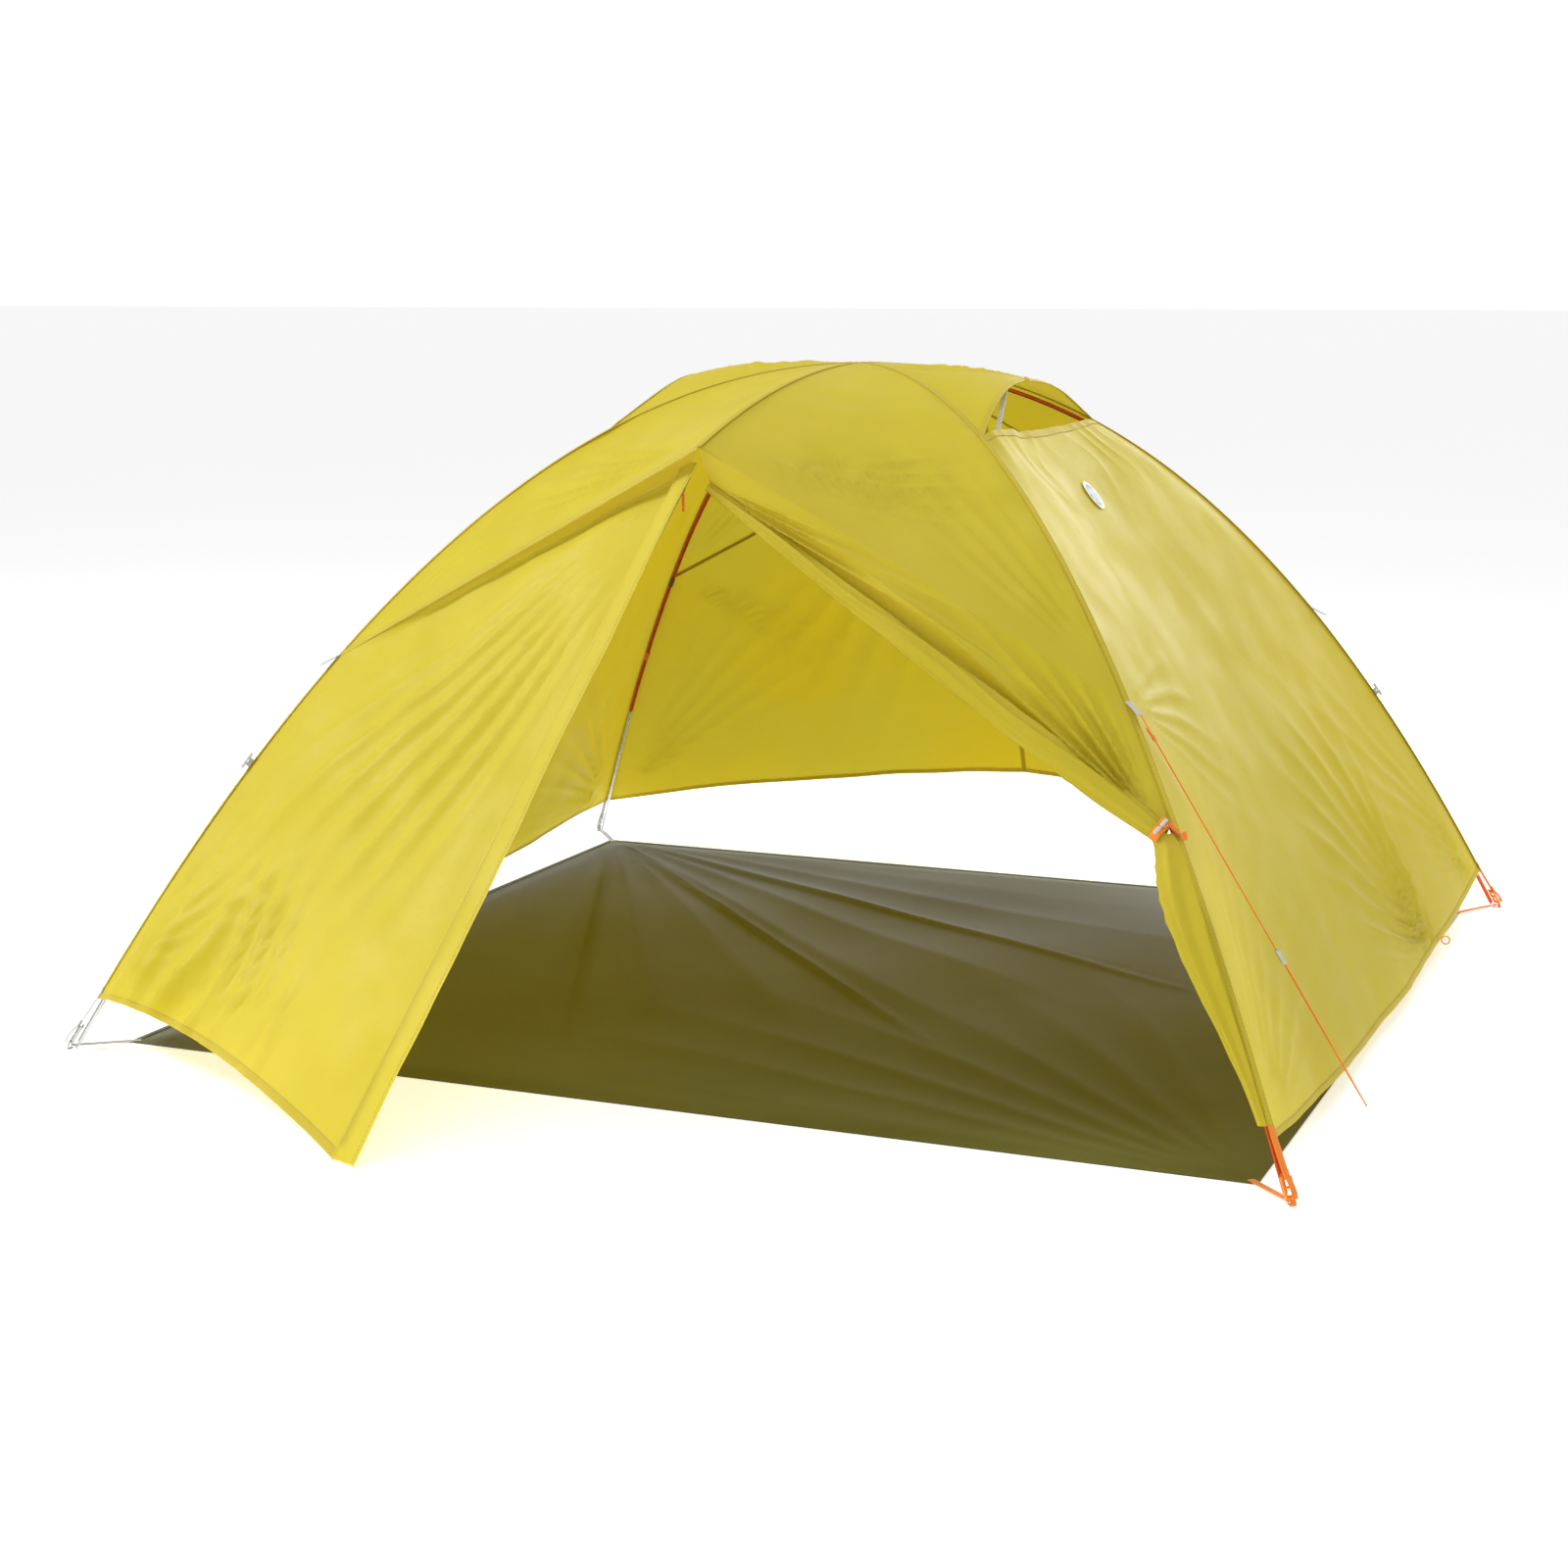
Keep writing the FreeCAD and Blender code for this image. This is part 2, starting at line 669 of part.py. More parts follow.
def make_brow_pole(ferrules, cords):
    """The front-to-back brow pole with its end cups."""
    inner = POLE_RADIUS - dim("pole_wall")
    ferrule_outer = inner - dim("running_gap")
    half_length = dim("brow_reach") - 3 * dim("pole_diameter")
    stations = [half_length * share for share in (-1, -0.5, 0, 0.5, 1)]
    sections = []
    for low, high in zip(stations, stations[1:]):
        sections.append(tube_along(brow_curve, brow_tangent, [low, high], POLE_RADIUS, inner))
    for joint in stations[1:-1]:
        ends = [joint - dim("ferrule_length") / 2, joint + dim("ferrule_length") / 2]
        wall = dim("ferrule_wall")
        ferrules.append(
            tube_along(brow_curve, brow_tangent, ends, ferrule_outer, ferrule_outer - wall)
        )
    shape_node("brow_pole_sections", sections)
    path = curve_path(brow_curve, brow_tangent, stations)
    radius = dim("shock_cord_diameter") / 2
    cords.append(rod_along(path, radius, brow_curve(stations[0]), brow_tangent(stations[0])))
    cups = []
    for end, sign in ((stations[0], -1), (stations[-1], 1)):
        axis = brow_tangent(end) * sign
        cup = Part.makeCylinder(POLE_RADIUS, 2 * dim("pole_diameter") - POLE_RADIUS)
        cup = cup.fuse(Part.makeSphere(POLE_RADIUS, UP * cup.BoundBox.ZMax)).removeSplitter()
        cups.append(place(cup, brow_curve(end), ACROSS, axis))
    shape_node("brow_pole_caps", cups)
    shape_node("pole_ferrules", ferrules)
    shape_node("shock_cords", cords)


def make_hub():
    """The hub that the four legs plug into, its swivel pin and the brow pole's clip."""
    hub = new_body("hub")
    disc = circle_sketch(hub, "Disc", "XY_Plane", "hub_radius")
    pad(hub, "DiscPad", disc, "hub_thickness")
    bore = circle_sketch(hub, "PinBore", "XY_Plane", "hub_pin_radius + running_gap / 2")
    pocket(hub, "PinHole", bore)
    hub.Placement = FreeCAD.Placement(UP * LEG_Z, FreeCAD.Rotation())
    solid = hub.Shape
    for quadrant in QUADRANTS:
        start = outward(quadrant) * (dim("hub_socket_start") - dim("clearance")) + UP * LEG_Z
        socket = Part.makeCylinder(
            POLE_RADIUS + dim("running_gap") / 2, dim("hub_radius"), start, outward(quadrant)
        )
        solid = solid.cut(socket)
    shape_node("pole_hub", solid)

    pin = new_body("hub_pin")
    shank = circle_sketch(pin, "Shank", "XY_Plane", "hub_pin_radius")
    pad(pin, "ShankPad", shank, "hub_thickness")
    pin.Placement = FreeCAD.Placement(UP * LEG_Z, FreeCAD.Rotation())
    add_node(pin, "hub_pin")

    clip = new_body("brow_clip")
    corners = rectangle("brow_clip_width", "pole_diameter + 2 * clearance")
    pad(clip, "Block", outline(clip, "Front", "XZ_Plane", corners), "brow_clip_length")
    bore = circle_sketch(clip, "PoleBore", "XZ_Plane", "pole_diameter / 2 + running_gap / 2")
    pocket(clip, "PoleHole", bore)
    clip.Placement = FreeCAD.Placement(UP * BROW_Z, FreeCAD.Rotation())
    add_node(clip, "brow_clip")


def make_pole_wraps():
    """Fabric wraps that tie the fly to the legs at the guy-outs and at the tie-backs."""
    length = 2 * dim("webbing_width")
    inner = POLE_RADIUS + dim("wrap_gap")
    for label, reach in (("guy_wraps", dim("roof_seam_reach")), ("tie_wraps", dim("tie_reach"))):
        wraps = []
        for quadrant in QUADRANTS:
            axis = leg_tangent(quadrant, reach)
            start = pole_point(quadrant, reach) - axis * (length / 2)
            outer = Part.makeCylinder(inner + dim("wrap_thickness"), length, start, axis)
            wraps.append(outer.cut(Part.makeCylinder(inner, length, start, axis)))
        shape_node(label, wraps)


# ---------------------------------------------------------------- fly


def vent_peak(side_x):
    return FreeCAD.Vector(side_x * dim("vent_peak_x"), 0, RIDGE - dim("vent_peak_drop"))


def vent_arch(quadrant):
    """Half of a vent hood's free edge, from its corner up to the peak."""
    corner = seam(quadrant, dim("vent_reach"))
    peak = vent_peak(QUADRANTS[quadrant][0])

    def point(t):
        ease = 1 - (1 - t) ** 2
        level = corner + (peak - corner) * t
        bend = corner + (peak - corner) * ease
        return FreeCAD.Vector(bend.x, level.y, bend.z)

    return point


def make_roof():
    """Four roof panels between the ridge and the legs, and the two vent hoods."""
    thickness = dim("fly_thickness")
    for quadrant, (side_x, side_y) in QUADRANTS.items():
        tip = ridge_point(side_y, dim("brow_reach"))
        foot = seam(quadrant, dim("roof_seam_reach"))
        net = coons(
            bottom=ridge_run(side_y, dim("brow_reach")),
            top=leg_run(quadrant, dim("vent_reach"), dim("roof_seam_reach")),
            left=leg_run(quadrant, 0, dim("vent_reach")),
            right=run(tip, foot),
        )
        shape_node(f"fly_roof_{quadrant}", panel_solid(net, thickness))
    for side, side_x in (("left", -1), ("right", 1)):
        front, back = f"front_{side}", f"back_{side}"
        front_arch, back_arch = vent_arch(front), vent_arch(back)
        net = coons(
            bottom=leg_run(front, 0, dim("vent_reach")),
            top=back_arch,
            left=leg_run(back, 0, dim("vent_reach")),
            right=front_arch,
        )
        shape_node(f"vent_hood_{side}", panel_solid(net, thickness))


def end_wall_net(side):
    front, back = f"front_{side}", f"back_{side}"
    return coons(
        bottom=run(seam(front, HEM_REACH), seam(back, HEM_REACH), -dim("end_hem_sag")),
        top=run(
            seam(front, dim("vent_reach")), seam(back, dim("vent_reach")), -dim("vent_sill_sag")
        ),
        left=leg_run(front, HEM_REACH, dim("vent_reach")),
        right=leg_run(back, HEM_REACH, dim("vent_reach")),
        bulge=-dim("end_wall_hollow"),
    )


def make_walls():
    """The two end walls and the two halves of the back wall."""
    thickness = dim("fly_thickness")
    for side in ("left", "right"):
        shape_node(f"fly_end_{side}", panel_solid(end_wall_net(side), thickness))
        quadrant = f"back_{side}"
        tip = ridge_point(1, dim("brow_reach"))
        middle_height = dim("hem_height") + dim("back_hem_rise")
        middle = FreeCAD.Vector(0, dim("back_hem_reach"), middle_height)
        corner = seam(quadrant, HEM_REACH)
        net = coons(
            bottom=run(corner, middle, dim("back_hem_rise") / 8),
            top=run(seam(quadrant, dim("roof_seam_reach")), tip),
            left=leg_run(quadrant, HEM_REACH, dim("roof_seam_reach")),
            right=run(middle, tip),
        )
        shape_node(f"fly_back_{side}", panel_solid(net, thickness))


def door_top():
    """The top of the door on the tent's centre plane."""
    tip = ridge_point(-1, dim("brow_reach"))
    return tip + FreeCAD.Vector(0, dim("door_top_inset"), -dim("door_top_drop"))


def door_line():
    """Top and bottom of the line where the storm flap is sewn on."""
    top = door_top() - ACROSS * dim("flap_top_width")
    bottom = FreeCAD.Vector(-dim("stake_x"), -dim("stake_y"), 0)
    return top, bottom


def door_axes():
    """Unit vectors of the door's edge: down it, across it towards the opening, and outwards."""
    top, bottom = door_line()
    down = (bottom - top).normalize()
    leg = seam("front_left", HEM_REACH)
    into_wall = (leg - bottom).normalize()
    outwards = down.cross(into_wall).normalize()
    if outwards.y > 0:
        outwards = outwards * -1
    across = outwards.cross(down).normalize()
    if across.x < 0:
        across = across * -1
    return down, across, outwards


def make_front_left():
    """The staked half of the vestibule."""
    top, bottom = door_line()
    tip = ridge_point(-1, dim("brow_reach"))
    quadrant = "front_left"
    net = coons(
        bottom=run(seam(quadrant, HEM_REACH), bottom, dim("front_hem_rise")),
        top=run(seam(quadrant, dim("roof_seam_reach")), tip),
        left=leg_run(quadrant, HEM_REACH, dim("roof_seam_reach")),
        right=bent_run(bottom, top, tip),
    )
    shape_node("fly_front_left", panel_solid(net, dim("fly_thickness")))


def make_zip():
    """Storm flap, zip tape, slider and pull along the door's edge."""
    thickness = dim("fly_thickness")
    top, bottom = door_line()
    down, across, outwards = door_axes()
    lift = outwards * (dim("flap_lift") + thickness)
    low = bottom - down * (dim("flap_width") / 2) + lift
    high = top + down * dim("flap_start") + lift
    free_low = low + across * dim("flap_width")
    free_high = high + across * dim("flap_top_width")
    flap = coons(
        bottom=run(low, free_low),
        top=run(high, free_high),
        left=run(low, high),
        right=run(free_low, free_high),
    )
    shape_node("storm_flap", panel_solid(flap, thickness, lambda point: outwards * -1))

    width = dim("zip_tape_width")
    start = top + down * width
    end = bottom - down * (2 * width)
    tape = Part.makeBox((end - start).Length, width, dim("zip_tape_thickness"))
    edge = start + across * dim("flap_lift") - outwards * (thickness / 2)
    inside = down.cross(across).normalize()
    shape_node("zip_tape", place(tape, edge, down, inside))

    slider = new_body("zip_slider")
    corners = rectangle("zip_slider_width", "zip_slider_length")
    block = pad(slider, "Block", outline(slider, "Plan", "XY_Plane", corners), "zip_slider_thickness")
    round_edges(slider, block, "zip_slider_width / 5")
    slider.Placement = pose(zip_slider_centre(), across, outwards)
    add_node(slider, "zip_slider")

    pull = new_body("zip_pull")
    corners = rectangle("zip_slider_width * 0.7", "zip_pull_length", "- zip_pull_length")
    pad(pull, "Tongue", outline(pull, "Plan", "XZ_Plane", corners), "webbing_thickness")
    grip = circle_sketch(
        pull, "Grip", "XZ_Plane", "zip_slider_width / 5", y="- zip_pull_length * 0.8"
    )
    pocket(pull, "GripHole", grip)
    add_barrel(pull, "webbing_thickness * 0.8", "zip_slider_width * 0.7")
    pull.Placement = pose(zip_pivot(), across, hanging(across) * -1)
    add_node(pull, "zip_pull")


def zip_slider_centre():
    """Centre of the slider, on the inner face of the tape near its top."""
    top, _ = door_line()
    down, across, outwards = door_axes()
    depth = dim("fly_thickness") / 2 + dim("zip_tape_thickness") + dim("clearance")
    depth += dim("zip_slider_thickness") / 2
    along = down * (3 * dim("zip_tape_width"))
    return top + along + across * (dim("zip_tape_width") / 2) - outwards * depth


def zip_pivot():
    """Where the pull hangs from the slider's lower face."""
    down, _, outwards = door_axes()
    depth = dim("zip_slider_thickness") / 2 + 2 * dim("clearance") + dim("webbing_thickness")
    return zip_slider_centre() - outwards * depth + down * (dim("zip_slider_length") / 4)


def hanging(axis):
    """Unit vector straight down, made square to an axis."""
    return (UP * -1 + axis * axis.z).normalize()


def bent_run(start, corner, end):
    """A border curve from start straight to a corner near its end, and on to the end."""
    share = (corner - start).Length / ((corner - start).Length + (end - corner).Length)

    def point(t):
        if t <= share:
            return start + (corner - start) * (t / share)
        return corner + (end - corner) * ((t - share) / (1 - share))

    return point


# ---------------------------------------------------------------- rolled half of the door


def door_side():
    """Level unit vector from the front right leg towards the staked corner of the door."""
    hem = seam("front_right", HEM_REACH)
    _, stake = door_line()
    return FreeCAD.Vector(stake.x - hem.x, stake.y - hem.y, 0).normalize()


def roll_axes():
    """Start and end of the rolled door's axis, its direction, and the way up its panel."""
    offset = FreeCAD.Vector(dim("roll_start_x"), -dim("roll_start_y"), -dim("roll_start_drop"))
    start = door_top() + offset
    standoff = dim("roll_neck_radius") + dim("skirt_standoff")
    neck = seam("front_right", dim("tie_reach")) + door_side() * standoff
    along = (neck - start).normalize()
    to_seam = seam("front_right", dim("roof_seam_reach")) - start
    upwards = (to_seam - along * to_seam.dot(along)).normalize()
    return start, neck, along, upwards


def roll_radius(t):
    """Radius of the rolled door, which grows from the apex and is pinched at the tie-back."""
    top, full = dim("roll_top_radius"), dim("roll_full_radius")
    pinch = 1 - dim("roll_neck_radius") / full
    return (top + (full - top) * t ** 0.7) * (1 - pinch * t ** 10)


def skirt_radius(t):
    """Radius of the gathered door from the tie-back down to the hem, fullest at a third."""
    tapered = dim("roll_neck_radius") * (1 - t) + dim("skirt_end_radius") * t
    return tapered + dim("skirt_swell") * 6.75 * t * (1 - t) ** 2


def roll_centre(t):
    start, neck, _, upwards = roll_axes()
    return start + (neck - start) * t - upwards * (4 * t * (1 - t) * dim("roll_sag"))


def round_loft(centre_of, radius_of, axis_of, steps=10):
    """A smooth solid through round sections."""
    rings = []
    for i in range(steps + 1):
        t = i / steps
        rings.append(Part.Wire([Part.makeCircle(radius_of(t), centre_of(t), axis_of(t))]))
    return Part.makeLoft(rings, True, False)


def panel_reach():
    """Reach of the lowest point of the panel above the rolled door, just over the tie-back."""
    return dim("tie_reach") - 2 * dim("tie_width")


def make_front_right():
    """The panel above the rolled door, the roll itself and its gathered skirt."""
    quadrant = "front_right"
    _, _, along, upwards = roll_axes()
    corner = seam(quadrant, panel_reach())

    def lower_edge(t):
        edge = roll_centre(t) + upwards * (roll_radius(t) + dim("roll_gap"))
        end = roll_centre(1) + upwards * (roll_radius(1) + dim("roll_gap"))
        return edge + (corner - end) * t ** 4

    tip = ridge_point(-1, dim("brow_reach"))
    net = coons(
        bottom=lower_edge,
        top=run(tip, seam(quadrant, dim("roof_seam_reach"))),
        left=run(lower_edge(0), tip),
        right=leg_run(quadrant, panel_reach(), dim("roof_seam_reach")),
    )
    shape_node("fly_front_right", panel_solid(net, dim("fly_thickness")))
    shape_node("rolled_door", round_loft(roll_centre, roll_radius, lambda t: along))

    low = HEM_REACH - dim("skirt_standoff")
    high = dim("tie_reach") + 2 * dim("skirt_standoff")

    def centre_of(t):
        standoff = skirt_radius(t) + dim("skirt_standoff")
        return seam(quadrant, high + (low - high) * t) + door_side() * standoff

    def axis_of(t):
        return leg_tangent(quadrant, high + (low - high) * t)

    shape_node("door_skirt", round_loft(centre_of, skirt_radius, axis_of))


def tie_ring_centre():
    _, neck, along, _ = roll_axes()
    return neck - along * (dim("tie_width") / 2)


def tie_outward():
    """Unit vector from the tie ring's centre out of the tent, square to the roll."""
    _, _, along, upwards = roll_axes()
    outwards = along.cross(upwards).normalize()
    return outwards if outwards.y < 0 else outwards * -1


def toggle_frame(quadrant):
    """Centre of a toggle, its long axis and the axis that it turns about."""
    if quadrant == "front_right":
        _, _, _, upwards = roll_axes()
        distance = tie_ring_radius() + dim("webbing_thickness") + dim("toggle_radius")
        centre = tie_ring_centre() + tie_outward() * (distance + 2 * dim("clearance"))
        return centre, upwards, tie_outward()
    reach = dim("tie_reach")
    normal = leg_normal(quadrant, reach)
    return seam(quadrant, reach) + normal * dim("tie_standoff"), leg_tangent(quadrant, reach), normal


def tie_ring_radius():
    return roll_radius(1) + 2 * dim("webbing_thickness")


def make_ties():
    """The webbing round the rolled door, the free tie-back loops and the four toggles."""
    _, _, along, _ = roll_axes()
    start = tie_ring_centre() - along * (dim("tie_width") / 2)
    radius = tie_ring_radius()
    ring = Part.makeCylinder(radius + dim("webbing_thickness"), dim("tie_width"), start, along)
    shape_node("tie_band", ring.cut(Part.makeCylinder(radius, dim("tie_width"), start, along)))
    loops = []
    for quadrant in QUADRANTS:
        centre, long_axis, turn_axis = toggle_frame(quadrant)
        if quadrant != "front_right":
            depth = dim("tie_standoff") - dim("toggle_radius") - 2 * dim("clearance")
            loop = strip(depth, dim("tie_width"), dim("webbing_thickness"))
            base = seam(quadrant, dim("tie_reach")) + turn_axis * dim("clearance")
            loops.append(place(loop, base, turn_axis, turn_axis.cross(long_axis)))
        label = f"toggle_{quadrant}"
        toggle = new_body(label)
        half, radius = "toggle_length / 2", "toggle_radius"
        waist = "toggle_radius - toggle_waist"
        profile = [
            ("0", f"- {half}"),
            (f"{radius} * 0.7", f"- {half}"),
            (radius, f"- {half} + {radius} * 0.5"),
            (radius, f"- {radius}"),
            (waist, "- toggle_waist"),
            (waist, "toggle_waist"),
            (radius, radius),
            (radius, f"{half} - {radius} * 0.5"),
            (f"{radius} * 0.7", half),
            ("0", half),
        ]
        revolve(toggle, "Turned", outline(toggle, "Profile", "XZ_Plane", profile))
        eye = circle_sketch(toggle, "Eye", "YZ_Plane", "toggle_waist / 2")
        pocket(toggle, "CordHole", eye)
        toggle.Placement = pose(centre, turn_axis, long_axis)
        add_node(toggle, label)
    shape_node("tieback_loops", loops)


# ---------------------------------------------------------------- corner straps and buckles


def buckle_start():
    """Distance of a buckle's upper end from the hem corner, down the leg."""
    slope_length = dim("hem_height") / math.sin(math.atan(-leg_slope(HEM_REACH)))
    return slope_length - dim("buckle_ground_gap") - dim("buckle_length")


def strap_plane(quadrant):
    """Hem corner, direction down the strap and the strap's outward normal."""
    normal = leg_normal(quadrant, HEM_REACH)
    lift = normal * (dim("clearance") + dim("webbing_thickness") / 2)
    return seam(quadrant, HEM_REACH) + lift, leg_tangent(quadrant, HEM_REACH), normal


def make_corner_straps():
    """Straps from the fly's corners down to the buckles at the pole tips."""
    for side, side_x in (("left", -1), ("right", 1)):
        straps = []
        for quadrant in QUADRANTS:
            if QUADRANTS[quadrant][0] != side_x:
                continue
            corner, down, normal = strap_plane(quadrant)
            length = dim("strap_overlap") + buckle_start() - dim("clearance")
            strap = strip(length, dim("webbing_width"), dim("webbing_thickness"))
            straps.append(place(strap, corner - down * dim("strap_overlap"), down, normal))
        shape_node(f"fly_straps_{side}", straps)


def make_buckles():
    """A ladder buckle at each corner, with a slot for the strap and one for the tip's loop."""
    for quadrant in QUADRANTS:
        label = f"corner_buckle_{quadrant}"
        buckle = new_body(label)
        corners = rectangle("buckle_width", "buckle_length")
        plate = outline(buckle, "Plate", "XY_Plane", corners)
        base = pad(buckle, "PlatePad", plate, "buckle_thickness")
        slot_width = "buckle_width - 2 * buckle_bar"
        slot_length = "buckle_length / 2 - 3 * buckle_bar / 2"
        upper = rectangle(slot_width, slot_length, "buckle_bar / 2")
        lower = rectangle(slot_width, slot_length, "- buckle_length / 2 + buckle_bar")
        pocket(buckle, "StrapSlot", outline(buckle, "Upper", "XY_Plane", upper))
        pocket(buckle, "LoopSlot", outline(buckle, "Lower", "XY_Plane", lower))
        round_edges(buckle, buckle.Tip, "buckle_bar / 4")
        add_barrel(
            buckle, "buckle_thickness / 2", "buckle_width", "- buckle_length / 2 + buckle_bar / 2"
        )
        corner, down, normal = strap_plane(quadrant)
        centre = corner + down * (buckle_start() + dim("buckle_length") / 2)
        across = normal.cross(down)
        buckle.Placement = pose(centre, across, normal)
        add_node(buckle, label)


# ---------------------------------------------------------------- guyline



def guyline_route():
    """The guyline runs straight from the guy-out tab to the ground, turns there and comes back."""
    offset = FreeCAD.Vector(dim("guy_out_x"), -dim("guy_out_y"), -dim("guy_out_drop"))
    top = seam("front_right", dim("roof_seam_reach")) + offset
    level = FreeCAD.Vector(dim("guy_ground_x"), dim("guy_ground_y"), 0)
    ground = FreeCAD.Vector(top.x + level.x, top.y + level.y, dim("cord_diameter"))
    turn = ground + FreeCAD.Vector(level.y, -level.x, 0).normalize() * dim("strand_spacing")
    return [top, ground, turn, turn - (ground - top) * GUYLINE_RETURN]


GUYLINE_ROUTE = guyline_route()
BEND_SHARE = 0.45  # share of the shorter run that a bend takes from each side


def rounded_path(route):
    """A wire of straight runs joined by tangent arcs, with the radius of each arc."""
    edges = []
    radii = []
    last = route[0]
    for before, corner, after in zip(route, route[1:], route[2:]):
        into = (corner - before).normalize()
        out_of = (after - corner).normalize()
        half_turn = into.getAngle(out_of) / 2
        reach = BEND_SHARE * min((corner - before).Length, (after - corner).Length)
        radius = reach / math.tan(half_turn)
        start, end = corner - into * reach, corner + out_of * reach
        inside = (out_of - into).normalize()
        middle = corner + inside * (radius / math.cos(half_turn) - radius)
        edges.append(Part.LineSegment(last, start).toShape())
        edges.append(Part.Arc(start, middle, end).toShape())
        radii.append(radius)
        last = end
    edges.append(Part.LineSegment(last, route[-1]).toShape())
    return Part.Wire(edges), radii


def strand_axes():
    """Unit vectors down the guyline's strands and from the first strand to the second."""
    down = (GUYLINE_ROUTE[1] - GUYLINE_ROUTE[0]).normalize()
    side = GUYLINE_ROUTE[2] - GUYLINE_ROUTE[1]
    side = (side - down * side.dot(down)).normalize()
    return down, side


def tensioner_centre():
    down, side = strand_axes()
    end = GUYLINE_ROUTE[-1]
    return end - side * (dim("strand_spacing") / 2)


def make_guyline():
    """The guyline with its knot and tensioner, and the four guy-out tabs."""
    path, radii = rounded_path(GUYLINE_ROUTE)
    down, side = strand_axes()
    radius = dim("cord_diameter") / 2
    tube = rod_along(path, radius, GUYLINE_ROUTE[0], down)
    shape_node("guyline", tube)
    expected = math.pi * radius ** 2 * path.Length
    print(f"guyline: {path.Length:.1f} mm long, volume {tube.Volume / expected:.4f} of section x length")
    print("guyline bend radii:", ", ".join(f"{value:.1f}" for value in radii))

    knot_length = 3 * dim("cord_diameter")
    knot_start = GUYLINE_ROUTE[0] + down * (2 * dim("tab_length"))
    knot = Part.makeCylinder(2.6 * radius, knot_length, knot_start, down)
    tail_bend = 9 * radius
    tail_centre = knot_start + down * (knot_length / 2) + side * (-2.4 * radius) - down * tail_bend
    tail = Part.makeTorus(tail_bend, radius * 0.9, FreeCAD.Vector(), UP, -180, 180, 110)
    tail = place(tail, tail_centre, down, down.cross(side).normalize() * -1)
    knot = knot.fuse(tail).removeSplitter()
    bore_start = knot_start - down * knot_length
    bore = Part.makeCylinder(radius + dim("running_gap"), 3 * knot_length, bore_start, down)
    shape_node("guyline_knot", knot.cut(bore))

    tabs = []
    for quadrant, (side_x, side_y) in QUADRANTS.items():
        normal = leg_normal(quadrant, dim("roof_seam_reach"))
        base = seam(quadrant, dim("roof_seam_reach")) + normal * dim("clearance")
        end = GUYLINE_ROUTE[0]
        outer = FreeCAD.Vector(side_x * end.x, side_y * -end.y, end.z)
        axis = (outer - base).normalize()
        length = (outer - base).Length - dim("cord_diameter") / 2 - dim("clearance")
        tab = strip(length, dim("tab_width"), dim("webbing_thickness"))
        across = axis.cross(UP).normalize()
        tabs.append(place(tab, base, axis, axis.cross(across)))
    shape_node("guy_tabs", tabs)

    tensioner = new_body("guyline_tensioner")
    corners = rectangle("tensioner_width", "tensioner_thickness")
    section = outline(tensioner, "Section", "XY_Plane", corners)
    pad(tensioner, "Block", section, "tensioner_length")
    bore_radius = "cord_diameter / 2 + cord_play"
    for name, x in (("First", "- strand_spacing / 2"), ("Second", "strand_spacing / 2")):
        pocket(tensioner, f"{name}Bore", circle_sketch(tensioner, name, "XY_Plane", bore_radius, x))
    tensioner.Placement = pose(tensioner_centre(), side, down)
    add_node(tensioner, "guyline_tensioner")


# ---------------------------------------------------------------- vent props, patch and hem loops


def prop_frame(side_x):
    """Foot of a vent prop and its direction at rest."""
    corner = seam("front_right", dim("vent_reach"))
    foot = FreeCAD.Vector(
        side_x * (corner.x - dim("prop_foot_inset")),
        corner.y * PROP_FOOT_SHARE,
        corner.z - dim("prop_foot_drop"),
    )
    angle = math.radians(dim("prop_angle"))
    lean = -side_x * dim("prop_lean") / dim("prop_length")
    return foot, FreeCAD.Vector(lean, math.cos(angle), math.sin(angle)).normalize()


def make_vent_props():
    """A stick that holds each vent hood open."""
    for side, side_x in (("left", -1), ("right", 1)):
        label = f"vent_prop_{side}"
        prop = new_body(label)
        corners = rectangle("prop_width", "prop_length", "0")
        stick = pad(prop, "Stick", outline(prop, "Plan", "XY_Plane", corners), "prop_thickness")
        round_edges(prop, stick, "prop_width / 3")
        add_barrel(prop, "prop_thickness * 0.8", "prop_width")
        foot, along = prop_frame(side_x)
        across = along.cross(UP).normalize()
        prop.Placement = pose(foot, across, across.cross(along))
        add_node(prop, label)


def make_trim():
    """A blank oval patch on the right end wall and a loop on each end wall's hem."""
    surface = Part.BSplineSurface()
    surface.interpolate(end_wall_net("right"))
    u, v = (low + (high - low) * share for low, high, share in (
        (*surface.bounds()[:2], PATCH_SHARE_ALONG),
        (*surface.bounds()[2:], PATCH_SHARE_UP),
    ))
    normal = surface.normal(u, v)
    if normal.x < 0:
        normal = normal * -1
    upwards = (UP - normal * normal.z).normalize()
    oval = Part.Ellipse(FreeCAD.Vector(), dim("patch_height") / 2, dim("patch_width") / 2)
    disc = Part.Face(Part.Wire([oval.toShape()])).extrude(UP * (dim("fly_thickness") / 2))
    centre = surface.value(u, v) + normal * dim("clearance")
    shape_node("round_patch", place(disc, centre, upwards, normal))

    loops = []
    for side, side_x, share in (("left", -1, 0.25), ("right", 1, 0.75)):
        front, back = f"front_{side}", f"back_{side}"
        hem = run(seam(front, HEM_REACH), seam(back, HEM_REACH), -dim("end_hem_sag"))
        tube = dim("cord_diameter") / 2
        offset = side_x * (dim("loop_radius") + tube + dim("clearance"))
        centre = hem(share) + FreeCAD.Vector(offset, 0, 0)
        loops.append(Part.makeTorus(dim("loop_radius"), tube, centre, FreeCAD.Vector(0, 1, 0)))
    shape_node("hem_loops", loops)


# ---------------------------------------------------------------- the part is written out


